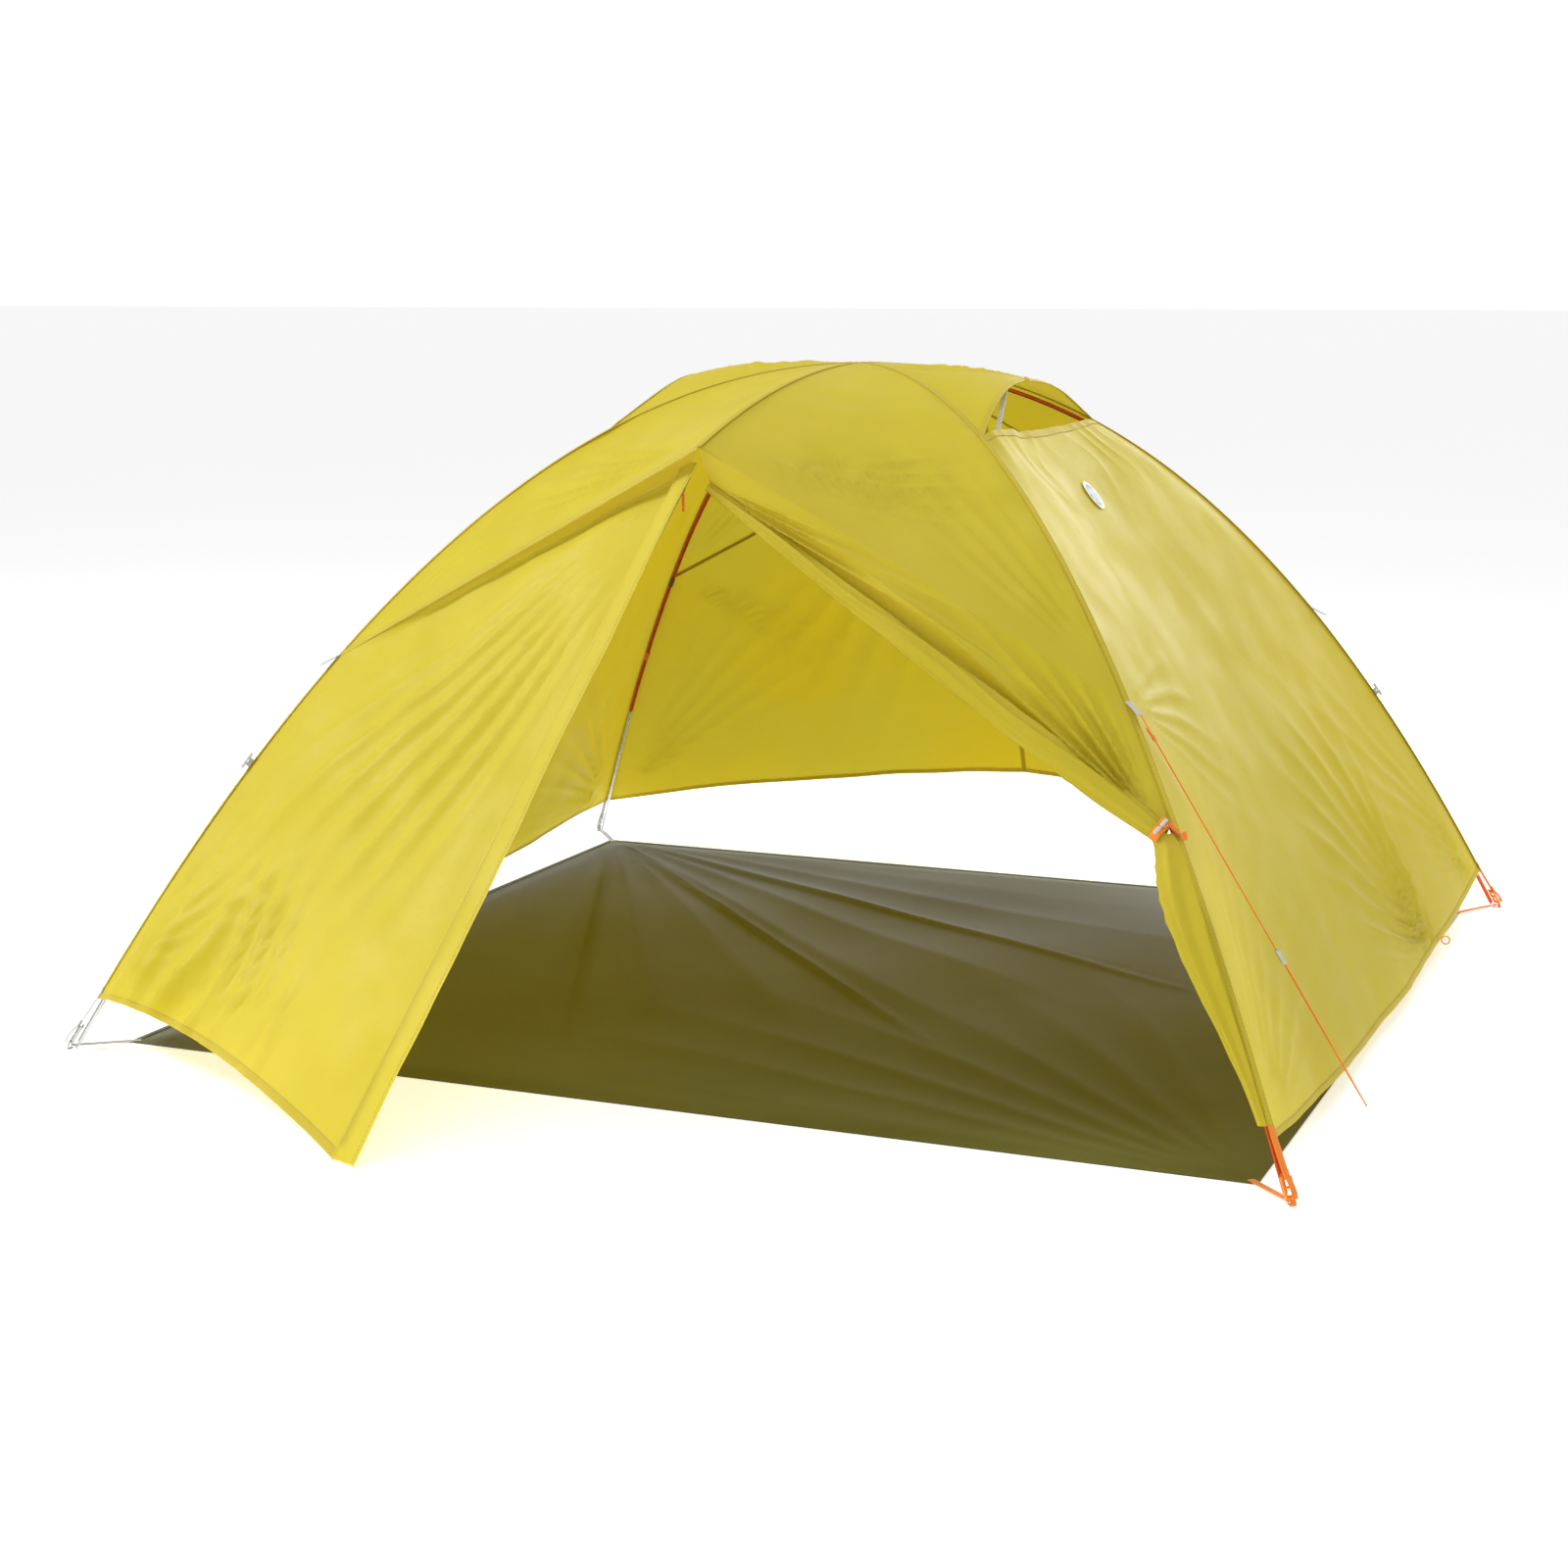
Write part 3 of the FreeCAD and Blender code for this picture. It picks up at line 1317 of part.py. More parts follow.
def failures():
    """Labels of every object that failed or holds no good shape."""
    bad = []
    for obj in doc.Objects:
        if "Invalid" in obj.State or "Error" in obj.State:
            bad.append(obj.Label)
    for obj in nodes:
        if obj.Shape.isNull() or not obj.Shape.isValid() or obj.Shape.Volume <= 0:
            bad.append(obj.Label)
    return bad


def main():
    make_footprint()
    make_corner_webbing()
    make_brow_pole(*make_poles())
    make_hub()
    make_pole_wraps()
    make_roof()
    make_walls()
    make_front_left()
    make_zip()
    make_front_right()
    make_ties()
    make_corner_straps()
    make_buckles()
    make_guyline()
    make_vent_props()
    make_trim()
    doc.recompute()
    bad = failures()
    if bad:
        raise RuntimeError("failed: " + ", ".join(sorted(set(bad))))
    os.makedirs("parts", exist_ok=True)
    for obj in nodes:
        obj.Shape.exportStep(os.path.join("parts", f"{obj.Label}.step"))
        print(f"{obj.Label}: {len(obj.Shape.Solids)} solids, {obj.Shape.Volume:.0f} mm3")


main()
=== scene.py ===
import math

import bmesh
import bpy
import numpy as np
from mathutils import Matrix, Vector


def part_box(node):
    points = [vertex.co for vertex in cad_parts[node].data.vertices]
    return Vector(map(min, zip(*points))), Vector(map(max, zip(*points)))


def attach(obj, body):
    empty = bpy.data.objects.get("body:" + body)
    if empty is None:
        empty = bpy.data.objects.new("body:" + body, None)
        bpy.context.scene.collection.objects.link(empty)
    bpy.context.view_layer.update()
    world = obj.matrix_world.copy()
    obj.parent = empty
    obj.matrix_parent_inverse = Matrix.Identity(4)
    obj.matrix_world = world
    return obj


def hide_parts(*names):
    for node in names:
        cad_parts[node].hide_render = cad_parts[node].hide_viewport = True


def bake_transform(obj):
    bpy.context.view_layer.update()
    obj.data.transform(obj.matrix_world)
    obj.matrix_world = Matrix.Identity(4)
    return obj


# Two-pole dome tent with a brow pole: fly, poles and footprint, in metres, in the model's frame.

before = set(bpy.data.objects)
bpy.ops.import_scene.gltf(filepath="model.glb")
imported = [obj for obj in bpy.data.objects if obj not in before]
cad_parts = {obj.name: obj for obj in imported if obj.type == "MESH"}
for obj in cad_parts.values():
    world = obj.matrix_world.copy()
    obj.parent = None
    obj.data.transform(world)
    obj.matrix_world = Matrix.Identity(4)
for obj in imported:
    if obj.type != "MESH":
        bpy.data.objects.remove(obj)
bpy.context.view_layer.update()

# ---- sizes and places

FLOOR_LOW, FLOOR_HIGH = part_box("footprint")
TIP = np.array([FLOOR_HIGH[0] + 0.080, FLOOR_HIGH[1] + 0.090])
SPAN = float(np.hypot(*TIP))
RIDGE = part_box("fly_roof_back_left")[1][2]
ARCH_POWER = 2.09
BROW_REACH = -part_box("fly_roof_front_left")[0][1]
BROW_DROP = 0.135
ROOF_REACH = 1.140
HEM_HEIGHT = 0.100
HEM_REACH = SPAN * (1 - HEM_HEIGHT / RIDGE) ** (1 / ARCH_POWER)
VENT_REACH = 0.560
VENT_PEAK = (0.370, 1.311)
VENT_SILL_HEIGHT = 1.21
VENT_SILL_SAG = 0.002
END_HEM_SAG = 0.060
END_HOLLOW = 0.045
BACK_MIDDLE = (1.220, 0.250)
STAKE = np.array([-0.366, -1.590, 0.002])
DOOR_TOP = np.array([-0.0375, -0.805, 1.158])
TIE_REACH = 1.325
TIE_GAP = 0.006
FLAP_TOP_WIDTH, FLAP_HEM_WIDTH = 0.037, 0.070
FLAP_BEHIND = 0.006
PATCH_LOW, PATCH_HIGH = (np.array(corner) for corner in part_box("round_patch"))
PATCH_PLACE = (PATCH_LOW + PATCH_HIGH) / 2
PATCH_KEPT_FLAT = 0.09
PATCH_SINK = 0.003
BINDING = 0.012
HEM_WIDTH = 0.014
GUYLINE_RADIUS = 0.0015
BUCKLE_BAR = 0.0170

SIDES = {
    "front_left": (-1, -1),
    "front_right": (1, -1),
    "back_right": (1, 1),
    "back_left": (-1, 1),
}
UP = np.array([0.0, 0.0, 1.0])
DEEP = np.array([0.0, 1.0, 0.0])


def unit(v):
    v = np.asarray(v, dtype=float)
    return v / np.linalg.norm(v, axis=-1, keepdims=True)


def column(t):
    return np.atleast_1d(np.asarray(t, dtype=float))[:, None]


def outward(quadrant):
    return np.array([*(np.array(SIDES[quadrant]) * TIP / SPAN), 0.0])


def seam(quadrant, reach):
    """Points of the leg seam at distances in plan from the hub."""
    reach = column(reach)
    return outward(quadrant) * reach + UP * RIDGE * (1 - (reach / SPAN) ** ARCH_POWER)


def leg_slope(reach):
    return -RIDGE * ARCH_POWER / SPAN * (np.asarray(reach) / SPAN) ** (ARCH_POWER - 1)


def leg_tangent(quadrant, reach):
    return unit(outward(quadrant) + UP * column(leg_slope(reach)))


def leg_normal(quadrant, reach):
    return unit(-outward(quadrant) * column(leg_slope(reach)) + UP)


def ridge(side_y, reach):
    reach = column(reach)
    rows = np.zeros((len(reach), 3))
    rows[:, 1] = side_y * reach[:, 0]
    rows[:, 2] = RIDGE - BROW_DROP * (reach[:, 0] / BROW_REACH) ** 2
    return rows


def run(start, end, rise=0.0):
    """A straight border with a rise at its middle."""
    start, end = np.ravel(start), np.ravel(end)

    def points(t):
        t = column(t)
        return start + (end - start) * t + UP * 4 * t * (1 - t) * rise

    return points


def leg_run(quadrant, low, high):
    return lambda t: seam(quadrant, low + (high - low) * np.atleast_1d(t))


def bent_run(start, corner, end):
    """A border that runs straight to a corner and on to its end."""
    share = np.linalg.norm(corner - start)
    share /= share + np.linalg.norm(end - corner)

    def points(t):
        t = column(t)
        first = start + (corner - start) * (t / share)
        second = corner + (end - corner) * ((t - share) / (1 - share))
        return np.where(t <= share, first, second)

    return points


def inward(points):
    scale = np.array([1 / TIP[0] ** 2, 1 / TIP[1] ** 2, 1 / RIDGE ** 2])
    return -unit(np.maximum(points, [-9, -9, 0.0]) * scale)


# ---- fabric nets and folds


def net(bottom, top, left, right, us, vs, swell=0.0):
    """A grid of points that fills four borders; swell pushes its middle outwards."""
    u, v = us[:, None, None], vs[None, :, None]
    low, high = bottom(us)[:, None], top(us)[:, None]
    near, far = left(vs)[None], right(vs)[None]
    ruled = low * (1 - v) + high * v + near * (1 - u) + far * u
    corners = (low[0] * (1 - u) + low[-1] * u) * (1 - v) + (high[0] * (1 - u) + high[-1] * u) * v
    points = ruled - corners
    return points - inward(points) * (16 * u * (1 - u) * v * (1 - v) * swell)


def grid_normals(points):
    """Normals of a grid of points, all on its outer side."""
    du = np.gradient(points, axis=0)
    dv = np.gradient(points, axis=1)
    normals = np.cross(du, dv)
    normals /= np.maximum(np.linalg.norm(normals, axis=-1, keepdims=True), 1e-12)
    facing = np.sum(normals * inward(points), axis=-1).mean()
    return normals if facing < 0 else -normals


def drift(points, wavelength, seed):
    """Smooth noise between about -1 and 1 with a given wavelength."""
    source = np.random.RandomState(seed)
    total = np.zeros(points.shape[:-1])
    for _ in range(10):
        direction = unit(source.normal(size=3)) * source.uniform(0.6, 1.5)
        total += np.sin(points @ direction * (2 * math.pi / wavelength) + source.uniform(0, 6.3))
    return total / 4.0


def smooth(x):
    x = np.clip(x, 0.0, 1.0)
    return x * x * (3 - 2 * x)


def pleat(x):
    """A repeating fold: a narrow crest over a broad trough, once in each unit of x."""
    return 0.75 - 1.5 * np.abs(np.sin(math.pi * x)) ** 0.8


def fan(points, normals, apex, toward, spread, folds, peak, depth, seed=1):
    """Folds that radiate from a point; depth is greatest at a distance peak from it."""
    apex, toward = np.asarray(apex), np.asarray(toward)
    along = unit(toward - apex)
    mean_normal = unit(normals.reshape(-1, 3).mean(axis=0))
    across = unit(np.cross(mean_normal, along))
    offset = points - apex
    distance = np.linalg.norm(offset, axis=-1)
    angle = np.arctan2(offset @ across, offset @ along)
    window = smooth(1.6 * (1 - np.abs(angle) / spread))
    reach = np.linalg.norm(toward - apex)
    envelope = (distance / peak) * np.exp(1 - distance / peak)
    envelope = envelope * smooth(2.2 * (1 - distance / reach))
    phase = angle / spread * folds / 2 + 0.35 * drift(points, 0.9 * reach, seed)
    strength = 0.7 + 0.3 * drift(points, 0.7 * reach, seed + 5)
    return depth * window * envelope * pleat(phase) * strength


def crease(points, start, end, width, depth):
    """One soft ridge from a point to another."""
    start, end = np.asarray(start), np.asarray(end)
    length = np.linalg.norm(end - start)
    along = (end - start) / length
    offset = points - start
    t = offset @ along / length
    across = np.linalg.norm(offset - (t * length)[..., None] * along, axis=-1)
    body = np.clip(np.sin(math.pi * np.clip(t, 0, 1)), 0, 1) ** 0.6
    inside = (t > 0) & (t < 1)
    return depth * inside * body * np.exp(-((across / width) ** 2))


def ripples(points, centre, across, pitch, extent, depth, seed):
    """Nearly parallel folds in an oval region."""
    offset = points - np.asarray(centre)
    side = offset @ unit(across)
    far = np.linalg.norm(offset - side[..., None] * unit(across), axis=-1)
    window = smooth(1.5 * (1 - np.sqrt((side / extent[0]) ** 2 + (far / extent[1]) ** 2)))
    phase = side / pitch + 0.5 * drift(points, 4 * pitch, seed)
    strength = 0.6 + 0.4 * drift(points, 3 * pitch, seed + 3)
    return depth * window * pleat(phase) * strength


def border_mask(us, vs, free=(), width=0.10):
    """0 at the borders that are sewn and 1 inside; free names the borders that may move."""
    u, v = us[:, None], vs[None, :]
    mask = np.ones((len(us), len(vs)))
    for name, value in (("left", u), ("right", 1 - u), ("bottom", v), ("top", 1 - v)):
        if name not in free:
            mask = mask * smooth(value / width)
    return mask


def placed(name, data):
    obj = bpy.data.objects.new(name, data)
    bpy.context.collection.objects.link(obj)
    return obj


def change_mesh(mesh, change):
    """The mesh after a change that is made on its bmesh."""
    work = bmesh.new()
    work.from_mesh(mesh)
    change(work)
    work.to_mesh(mesh)
    work.free()


class Cloth:
    """Collects grids of points into one mesh, with a map in metres on each grid."""

    def __init__(self):
        self.points, self.maps, self.faces, self.slots = [], [], [], []
        self.count = 0

    def add(self, points, slot=0, closed=False):
        rows, columns = points.shape[:2]
        du = np.linalg.norm(np.diff(points, axis=0), axis=-1).mean(axis=1)
        dv = np.linalg.norm(np.diff(points, axis=1), axis=-1).mean(axis=0)
        u = np.concatenate([[0], np.cumsum(du)])
        v = np.concatenate([[0], np.cumsum(dv)])
        self.points.append(points.reshape(-1, 3))
        self.maps.append(np.stack(np.meshgrid(u, v, indexing="ij"), axis=-1).reshape(-1, 2))
        for i in range(rows - 1):
            for j in range(columns - 1 + closed):
                a = self.count + i * columns + j
                b = self.count + i * columns + (j + 1) % columns
                self.faces.append((a, b, b + columns, a + columns))
                self.slots.append(slot)
        self.count += rows * columns

    def build(self, name, materials, weld=0.0004, outside=True):
        mesh = bpy.data.meshes.new(name)
        points = np.concatenate(self.points)
        maps = np.concatenate(self.maps)
        mesh.from_pydata(points.tolist(), [], self.faces)
        layer = mesh.uv_layers.new(name="metres")
        corners = np.array([i for face in self.faces for i in face])
        layer.data.foreach_set("uv", maps[corners].astype(np.float32).ravel())
        for material in materials:
            mesh.materials.append(material)
        mesh.polygons.foreach_set("material_index", self.slots)
        mesh.polygons.foreach_set("use_smooth", [True] * len(self.faces))

        def join(work):
            bmesh.ops.remove_doubles(work, verts=work.verts, dist=weld)
            bmesh.ops.dissolve_degenerate(work, edges=work.edges, dist=1e-6)
            if outside:
                bmesh.ops.recalc_face_normals(work, faces=work.faces)

        change_mesh(mesh, join)
        return placed(name, mesh)


# ---- materials


def new_material(name):
    material = bpy.data.materials.new(name)
    material.use_nodes = True
    tree = material.node_tree
    shader = tree.nodes["Principled BSDF"]
    return material, tree, shader


def add(tree, kind, **settings):
    node = tree.nodes.new(kind)
    for key, value in settings.items():
        if key in node.inputs:
            node.inputs[key].default_value = value
        else:
            setattr(node, key, value)
    return node


def set_values(node, **values):
    for key, value in values.items():
        node.inputs[key.replace("_", " ")].default_value = value


def mix_colours(tree, factor, first, second, mode="MIX"):
    node = add(tree, "ShaderNodeMix", data_type="RGBA", blend_type=mode)
    for index, value in ((6, first), (7, second)):
        if isinstance(value, tuple):
            node.inputs[index].default_value = (*value, 1.0)
        else:
            tree.links.new(value, node.inputs[index])
    if isinstance(factor, float):
        node.inputs[0].default_value = factor
    else:
        tree.links.new(factor, node.inputs[0])
    return node.outputs[2]


def bump(tree, height, distance, strength, after=None):
    node = add(tree, "ShaderNodeBump", Strength=strength, Distance=distance)
    tree.links.new(height, node.inputs["Height"])
    if after:
        tree.links.new(after, node.inputs["Normal"])
    return node.outputs["Normal"]


def waves(tree, vector, period, direction):
    node = add(tree, "ShaderNodeTexWave", bands_direction=direction, wave_profile="SIN")
    node.inputs["Scale"].default_value = math.pi / 10 / period
    tree.links.new(vector, node.inputs["Vector"])
    return node.outputs["Fac"]


def spread_of(tree, source, low, high, to_low=0.0, to_high=1.0):
    node = add(tree, "ShaderNodeMapRange", interpolation_type="SMOOTHSTEP")
    limits = (("From Min", low), ("From Max", high), ("To Min", to_low), ("To Max", to_high))
    for key, value in limits:
        node.inputs[key].default_value = value
    tree.links.new(source, node.inputs["Value"])
    return node.outputs["Result"]


def noise(tree, vector, scale, detail=3.0, roughness=0.5):
    node = add(tree, "ShaderNodeTexNoise", Scale=scale, Detail=detail, Roughness=roughness)
    tree.links.new(vector, node.inputs["Vector"])
    return node.outputs["Fac"]


def ripstop(name, colour, deep, glow, roughness, crumple, see_through):
    """Coated ripstop nylon: a 5 mm grid of thicker threads, soft crumples, light through it."""
    material, tree, shader = new_material(name)
    links = tree.links
    place = add(tree, "ShaderNodeTexCoord")
    flat, solid = place.outputs["UV"], place.outputs["Object"]
    lines = add(tree, "ShaderNodeMath", operation="MAXIMUM")
    for index, direction in enumerate("XY"):
        line = spread_of(tree, waves(tree, flat, 0.005, direction), 0.88, 1.0)
        links.new(line, lines.inputs[index])
    clouds = spread_of(tree, noise(tree, solid, 2.3, 3.0), 0.3, 0.7)
    mottled = mix_colours(tree, clouds, colour, deep)
    dust = spread_of(tree, noise(tree, solid, 34.0, 5.0, 0.65), 0.35, 0.75, 0.0, 0.16)
    mottled = mix_colours(tree, dust, mottled, glow)
    faint = add(tree, "ShaderNodeMath", operation="MULTIPLY")
    faint.inputs[1].default_value = 0.16
    links.new(lines.outputs[0], faint.inputs[0])
    final = mix_colours(tree, faint.outputs[0], mottled, deep)
    links.new(final, shader.inputs["Base Color"])
    swing = min(0.06, 20 * crumple)
    patches = noise(tree, solid, 9.0, 4.0)
    rough = spread_of(tree, patches, 0.3, 0.7, roughness - swing, roughness + swing)
    links.new(rough, shader.inputs["Roughness"])
    set_values(shader, Sheen_Weight=0.03, Sheen_Roughness=0.45, Specular_IOR_Level=0.15)
    soft = bump(tree, noise(tree, solid, 11.0, 4.0, 0.55), crumple, 0.55)
    fine = bump(tree, noise(tree, solid, 60.0, 3.0), crumple * 0.12, 0.4, soft)
    normal = bump(tree, lines.outputs[0], 0.00012, 0.5, fine)
    links.new(normal, shader.inputs["Normal"])
    if see_through:
        through = add(tree, "ShaderNodeBsdfTranslucent")
        tinted = mix_colours(tree, clouds, glow, deep)
        links.new(tinted, through.inputs["Color"])
        links.new(normal, through.inputs["Normal"])
        both = add(tree, "ShaderNodeMixShader")
        both.inputs[0].default_value = see_through
        links.new(shader.outputs[0], both.inputs[1])
        links.new(through.outputs[0], both.inputs[2])
        links.new(both.outputs[0], tree.nodes["Material Output"].inputs["Surface"])
    return material


def woven(name, colour, deep, rib=0.0016, flecks=None, mapped=True):
    """Woven tape or braided cord: ribs across, threads along and a little dirt."""
    material, tree, shader = new_material(name)
    links = tree.links
    place = add(tree, "ShaderNodeTexCoord")
    flat = place.outputs["UV" if mapped else "Object"]
    ribs = waves(tree, flat, rib, "DIAGONAL")
    threads = waves(tree, flat, rib * 0.7, "Y")
    weave = add(tree, "ShaderNodeMath", operation="MULTIPLY")
    links.new(ribs, weave.inputs[0])
    links.new(threads, weave.inputs[1])
    tone = mix_colours(tree, weave.outputs[0], deep, colour)
    dirt = spread_of(tree, noise(tree, place.outputs["Object"], 45.0, 4.0), 0.4, 0.8, 0.0, 0.35)
    tone = mix_colours(tree, dirt, tone, deep)
    if flecks:
        spots = add(tree, "ShaderNodeTexVoronoi", Scale=420.0)
        links.new(place.outputs["Object"], spots.inputs["Vector"])
        near = spread_of(tree, spots.outputs["Distance"], 0.16, 0.1)
        tone = mix_colours(tree, near, tone, flecks)
    links.new(tone, shader.inputs["Base Color"])
    set_values(shader, Roughness=0.72, Sheen_Weight=0.25)
    normal = bump(tree, weave.outputs[0], 0.0004, 0.8)
    links.new(normal, shader.inputs["Normal"])
    return material


def anodised(name, colour, deep):
    """Anodised tube: drawn streaks, soft scuffs."""
    material, tree, shader = new_material(name)
    solid = add(tree, "ShaderNodeTexCoord").outputs["Object"]
    streaks = noise(tree, solid, 130.0, 2.0)
    scuffs = spread_of(tree, noise(tree, solid, 22.0, 6.0, 0.7), 0.45, 0.75)
    tone = mix_colours(tree, scuffs, colour, deep)
    tree.links.new(tone, shader.inputs["Base Color"])
    rough = spread_of(tree, streaks, 0.3, 0.7, 0.26, 0.42)
    tree.links.new(rough, shader.inputs["Roughness"])
    set_values(shader, Metallic=0.9)
    tree.links.new(bump(tree, streaks, 0.0001, 0.3), shader.inputs["Normal"])
    return material


def moulded(name, colour, deep, metallic=0.0, roughness=0.42):
    """Moulded plastic or cast metal: fine grain, handling marks."""
    material, tree, shader = new_material(name)
    solid = add(tree, "ShaderNodeTexCoord").outputs["Object"]
    marks = spread_of(tree, noise(tree, solid, 70.0, 5.0, 0.65), 0.35, 0.8)
    tone = mix_colours(tree, marks, colour, deep)
    tree.links.new(tone, shader.inputs["Base Color"])
    rough = spread_of(tree, marks, 0.0, 1.0, roughness - 0.08, roughness + 0.12)
    tree.links.new(rough, shader.inputs["Roughness"])
    set_values(shader, Metallic=metallic)
    grain = noise(tree, solid, 900.0, 2.0)
    tree.links.new(bump(tree, grain, 0.0001, 0.35), shader.inputs["Normal"])
    return material


PALE_WEBBING = (0.62, 0.63, 0.60), (0.42, 0.43, 0.42)
ORANGE_WEBBING = (1.0, 0.30, 0.010), (0.92, 0.24, 0.008)

fly_cloth = ripstop(
    "fly_cloth", (0.72, 0.61, 0.058), (0.67, 0.56, 0.035), (0.72, 0.54, 0.012), 0.50, 0.003, 0.36
)
floor_cloth = ripstop(
    "floor_cloth", (0.112, 0.110, 0.030), (0.104, 0.102, 0.027), (0.125, 0.122, 0.040),
    0.36, 0.0002, 0.0,
)
seam_cloth = ripstop(
    "seam_cloth", (0.70, 0.58, 0.060), (0.64, 0.52, 0.040), (0.72, 0.54, 0.012), 0.55, 0.001, 0.30
)
seam_tape = ripstop(
    "seam_tape", (0.62, 0.50, 0.040), (0.56, 0.44, 0.030), (0.66, 0.48, 0.012), 0.55, 0.001, 0.30
)
brown_webbing = woven("brown_webbing", (0.20, 0.11, 0.03), (0.13, 0.07, 0.02), mapped=False)
thread = woven("thread", (0.55, 0.46, 0.08), (0.42, 0.34, 0.05), 0.0006)
pale_webbing = woven("pale_webbing", *PALE_WEBBING)
orange_webbing = woven("orange_webbing", *ORANGE_WEBBING)
loose_webbing = woven("loose_webbing", *PALE_WEBBING, mapped=False)
loose_orange = woven("loose_orange", *ORANGE_WEBBING, mapped=False)
cord_cloth = woven(
    "cord_cloth", (1.0, 0.32, 0.010), (0.95, 0.26, 0.01), 0.0012, (0.95, 0.55, 0.2), mapped=False
)
elastic = woven(
    "elastic", (0.75, 0.75, 0.72), (0.45, 0.45, 0.45), 0.0009, (0.1, 0.1, 0.1), mapped=False
)
zip_cloth = woven("zip_cloth", (0.42, 0.36, 0.07), (0.28, 0.23, 0.04), 0.0012, mapped=False)
silver_tube = anodised("silver_tube", (0.70, 0.71, 0.72), (0.55, 0.55, 0.56))
orange_tube = anodised("orange_tube", (0.62, 0.10, 0.02), (0.42, 0.06, 0.015))
turned_alloy = anodised("turned_alloy", (0.80, 0.81, 0.82), (0.62, 0.62, 0.64))
hub_plastic = moulded("hub_plastic", (0.035, 0.035, 0.038), (0.06, 0.06, 0.06))
orange_plastic = moulded("orange_plastic", (1.0, 0.29, 0.01), (0.92, 0.23, 0.01), roughness=0.36)
pale_plastic = moulded("pale_plastic", (0.60, 0.62, 0.61), (0.46, 0.47, 0.47))
zip_metal = moulded("zip_metal", (0.60, 0.60, 0.58), (0.40, 0.40, 0.38), 1.0, 0.34)
patch_film = moulded("patch_film", (0.78, 0.78, 0.74), (0.68, 0.68, 0.64), roughness=0.5)
patch_middle = moulded("patch_middle", (0.20, 0.24, 0.30), (0.14, 0.17, 0.22), roughness=0.5)

NODE_MATERIALS = (
    (loose_webbing, ("corner_webbing_left", "tieback_loops", "guy_tabs")),
    (loose_orange, ("corner_webbing_right", "tie_wraps", "zip_pull")),
    (orange_tube, ("pole_sections", "pole_foot_sections_right", "brow_pole_sections")),
    (silver_tube, ("pole_foot_sections_left", "pole_ferrules")),
    (turned_alloy, ("pole_tips", "hub_pin")),
    (hub_plastic, ("pole_hub", "brow_clip", "brow_pole_caps")),
    (orange_plastic, ("corner_buckle_front_right", "corner_buckle_back_right")),
    (pale_plastic, ("corner_buckle_front_left", "corner_buckle_back_left", "vent_prop")),
    (pale_plastic, ("toggle", "guyline_tensioner")),
    (cord_cloth, ("guyline_knot", "hem_loops")),
    (elastic, ("shock_cords",)),
    (brown_webbing, ("guy_wraps",)),
    (zip_cloth, ("zip_tape",)),
    (zip_metal, ("zip_slider",)),
    (patch_film, ("round_patch",)),
)


def dress_nodes():
    """Better materials on the CAD nodes that keep their own shape."""
    for name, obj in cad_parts.items():
        for material, starts in NODE_MATERIALS:
            if name.startswith(starts):
                obj.data.materials.clear()
                obj.data.materials.append(material)


dress_nodes()

# ---- the fly

DETAIL = 1.0
CROWN_CELLS = int(60 * DETAIL)
ROOF_CELLS = int(64 * DETAIL)
WALL_CELLS = int(84 * DETAIL)
END_CELLS = int(150 * DETAIL)

CROWN = np.linspace(0, 1, CROWN_CELLS)
ROOF = np.linspace(0, 1, ROOF_CELLS)
WALL = np.linspace(0, 1, WALL_CELLS)

fly = Cloth()
trim = Cloth()
stitches = Cloth()
BAND, TAPE = 0, 1  # material slots of the trim


def foot(quadrant):
    return seam(quadrant, ROOF_REACH)[0]


def brow(side_y):
    return ridge(side_y, BROW_REACH)[0]


def hem(quadrant):
    return seam(quadrant, HEM_REACH)[0]


def displaced(points, shapes, mask):
    """The grid moved along its normals by the sum of the shapes, and its normals after that."""
    normals = grid_normals(points)
    total = sum(shape(points, normals) for shape in shapes)
    moved = points + normals * (total * mask)[..., None]
    return moved, grid_normals(moved)


def slack(depth, wavelength, seed):
    return lambda points, normals: depth * drift(points, wavelength, seed)


def fan_of(*settings, **more):
    return lambda points, normals: fan(points, normals, *settings, **more)


def crease_of(*settings):
    return lambda points, normals: crease(points, *settings)


def ripples_of(*settings):
    return lambda points, normals: ripples(points, *settings)


def band(line, normals, width, lift, cloth=trim, slot=BAND):
    """A narrow ribbon centred on a line of points."""
    tangents = unit(np.gradient(line, axis=0))
    across = unit(np.cross(tangents, normals))
    columns = []
    for share, crown in ((-0.5, 0.0), (-0.25, 0.6), (0.0, 1.0), (0.25, 0.6), (0.5, 0.0)):
        columns.append(line + across * (share * width) + normals * (lift * (0.5 + crown)))
    cloth.add(np.stack(columns, axis=1), slot)


def stitch(line, normals, pitch=0.0075, share=0.6, width=0.0011, lift=0.0016):
    """A row of stitches along a line of points."""
    steps = np.linalg.norm(np.diff(line, axis=0), axis=1)
    lengths = np.concatenate([[0], np.cumsum(steps)])
    starts = np.arange(0.0, lengths[-1] - pitch, pitch)
    ends = []
    for offset in (0.0, pitch * share):
        at = starts + offset
        point = np.stack([np.interp(at, lengths, line[:, k]) for k in range(3)], axis=1)
        normal = unit(np.stack([np.interp(at, lengths, normals[:, k]) for k in range(3)], axis=1))
        ends.append((point, normal))
    (first, n_first), (last, n_last) = ends
    across = unit(np.cross(last - first, n_first)) * width / 2
    for a, b, c, n, m in zip(first, last, across, n_first, n_last):
        quad = np.array([[a - c, a + c], [b - c, b + c]])
        stitches.add(quad + np.array([[n, n], [m, m]]) * lift)


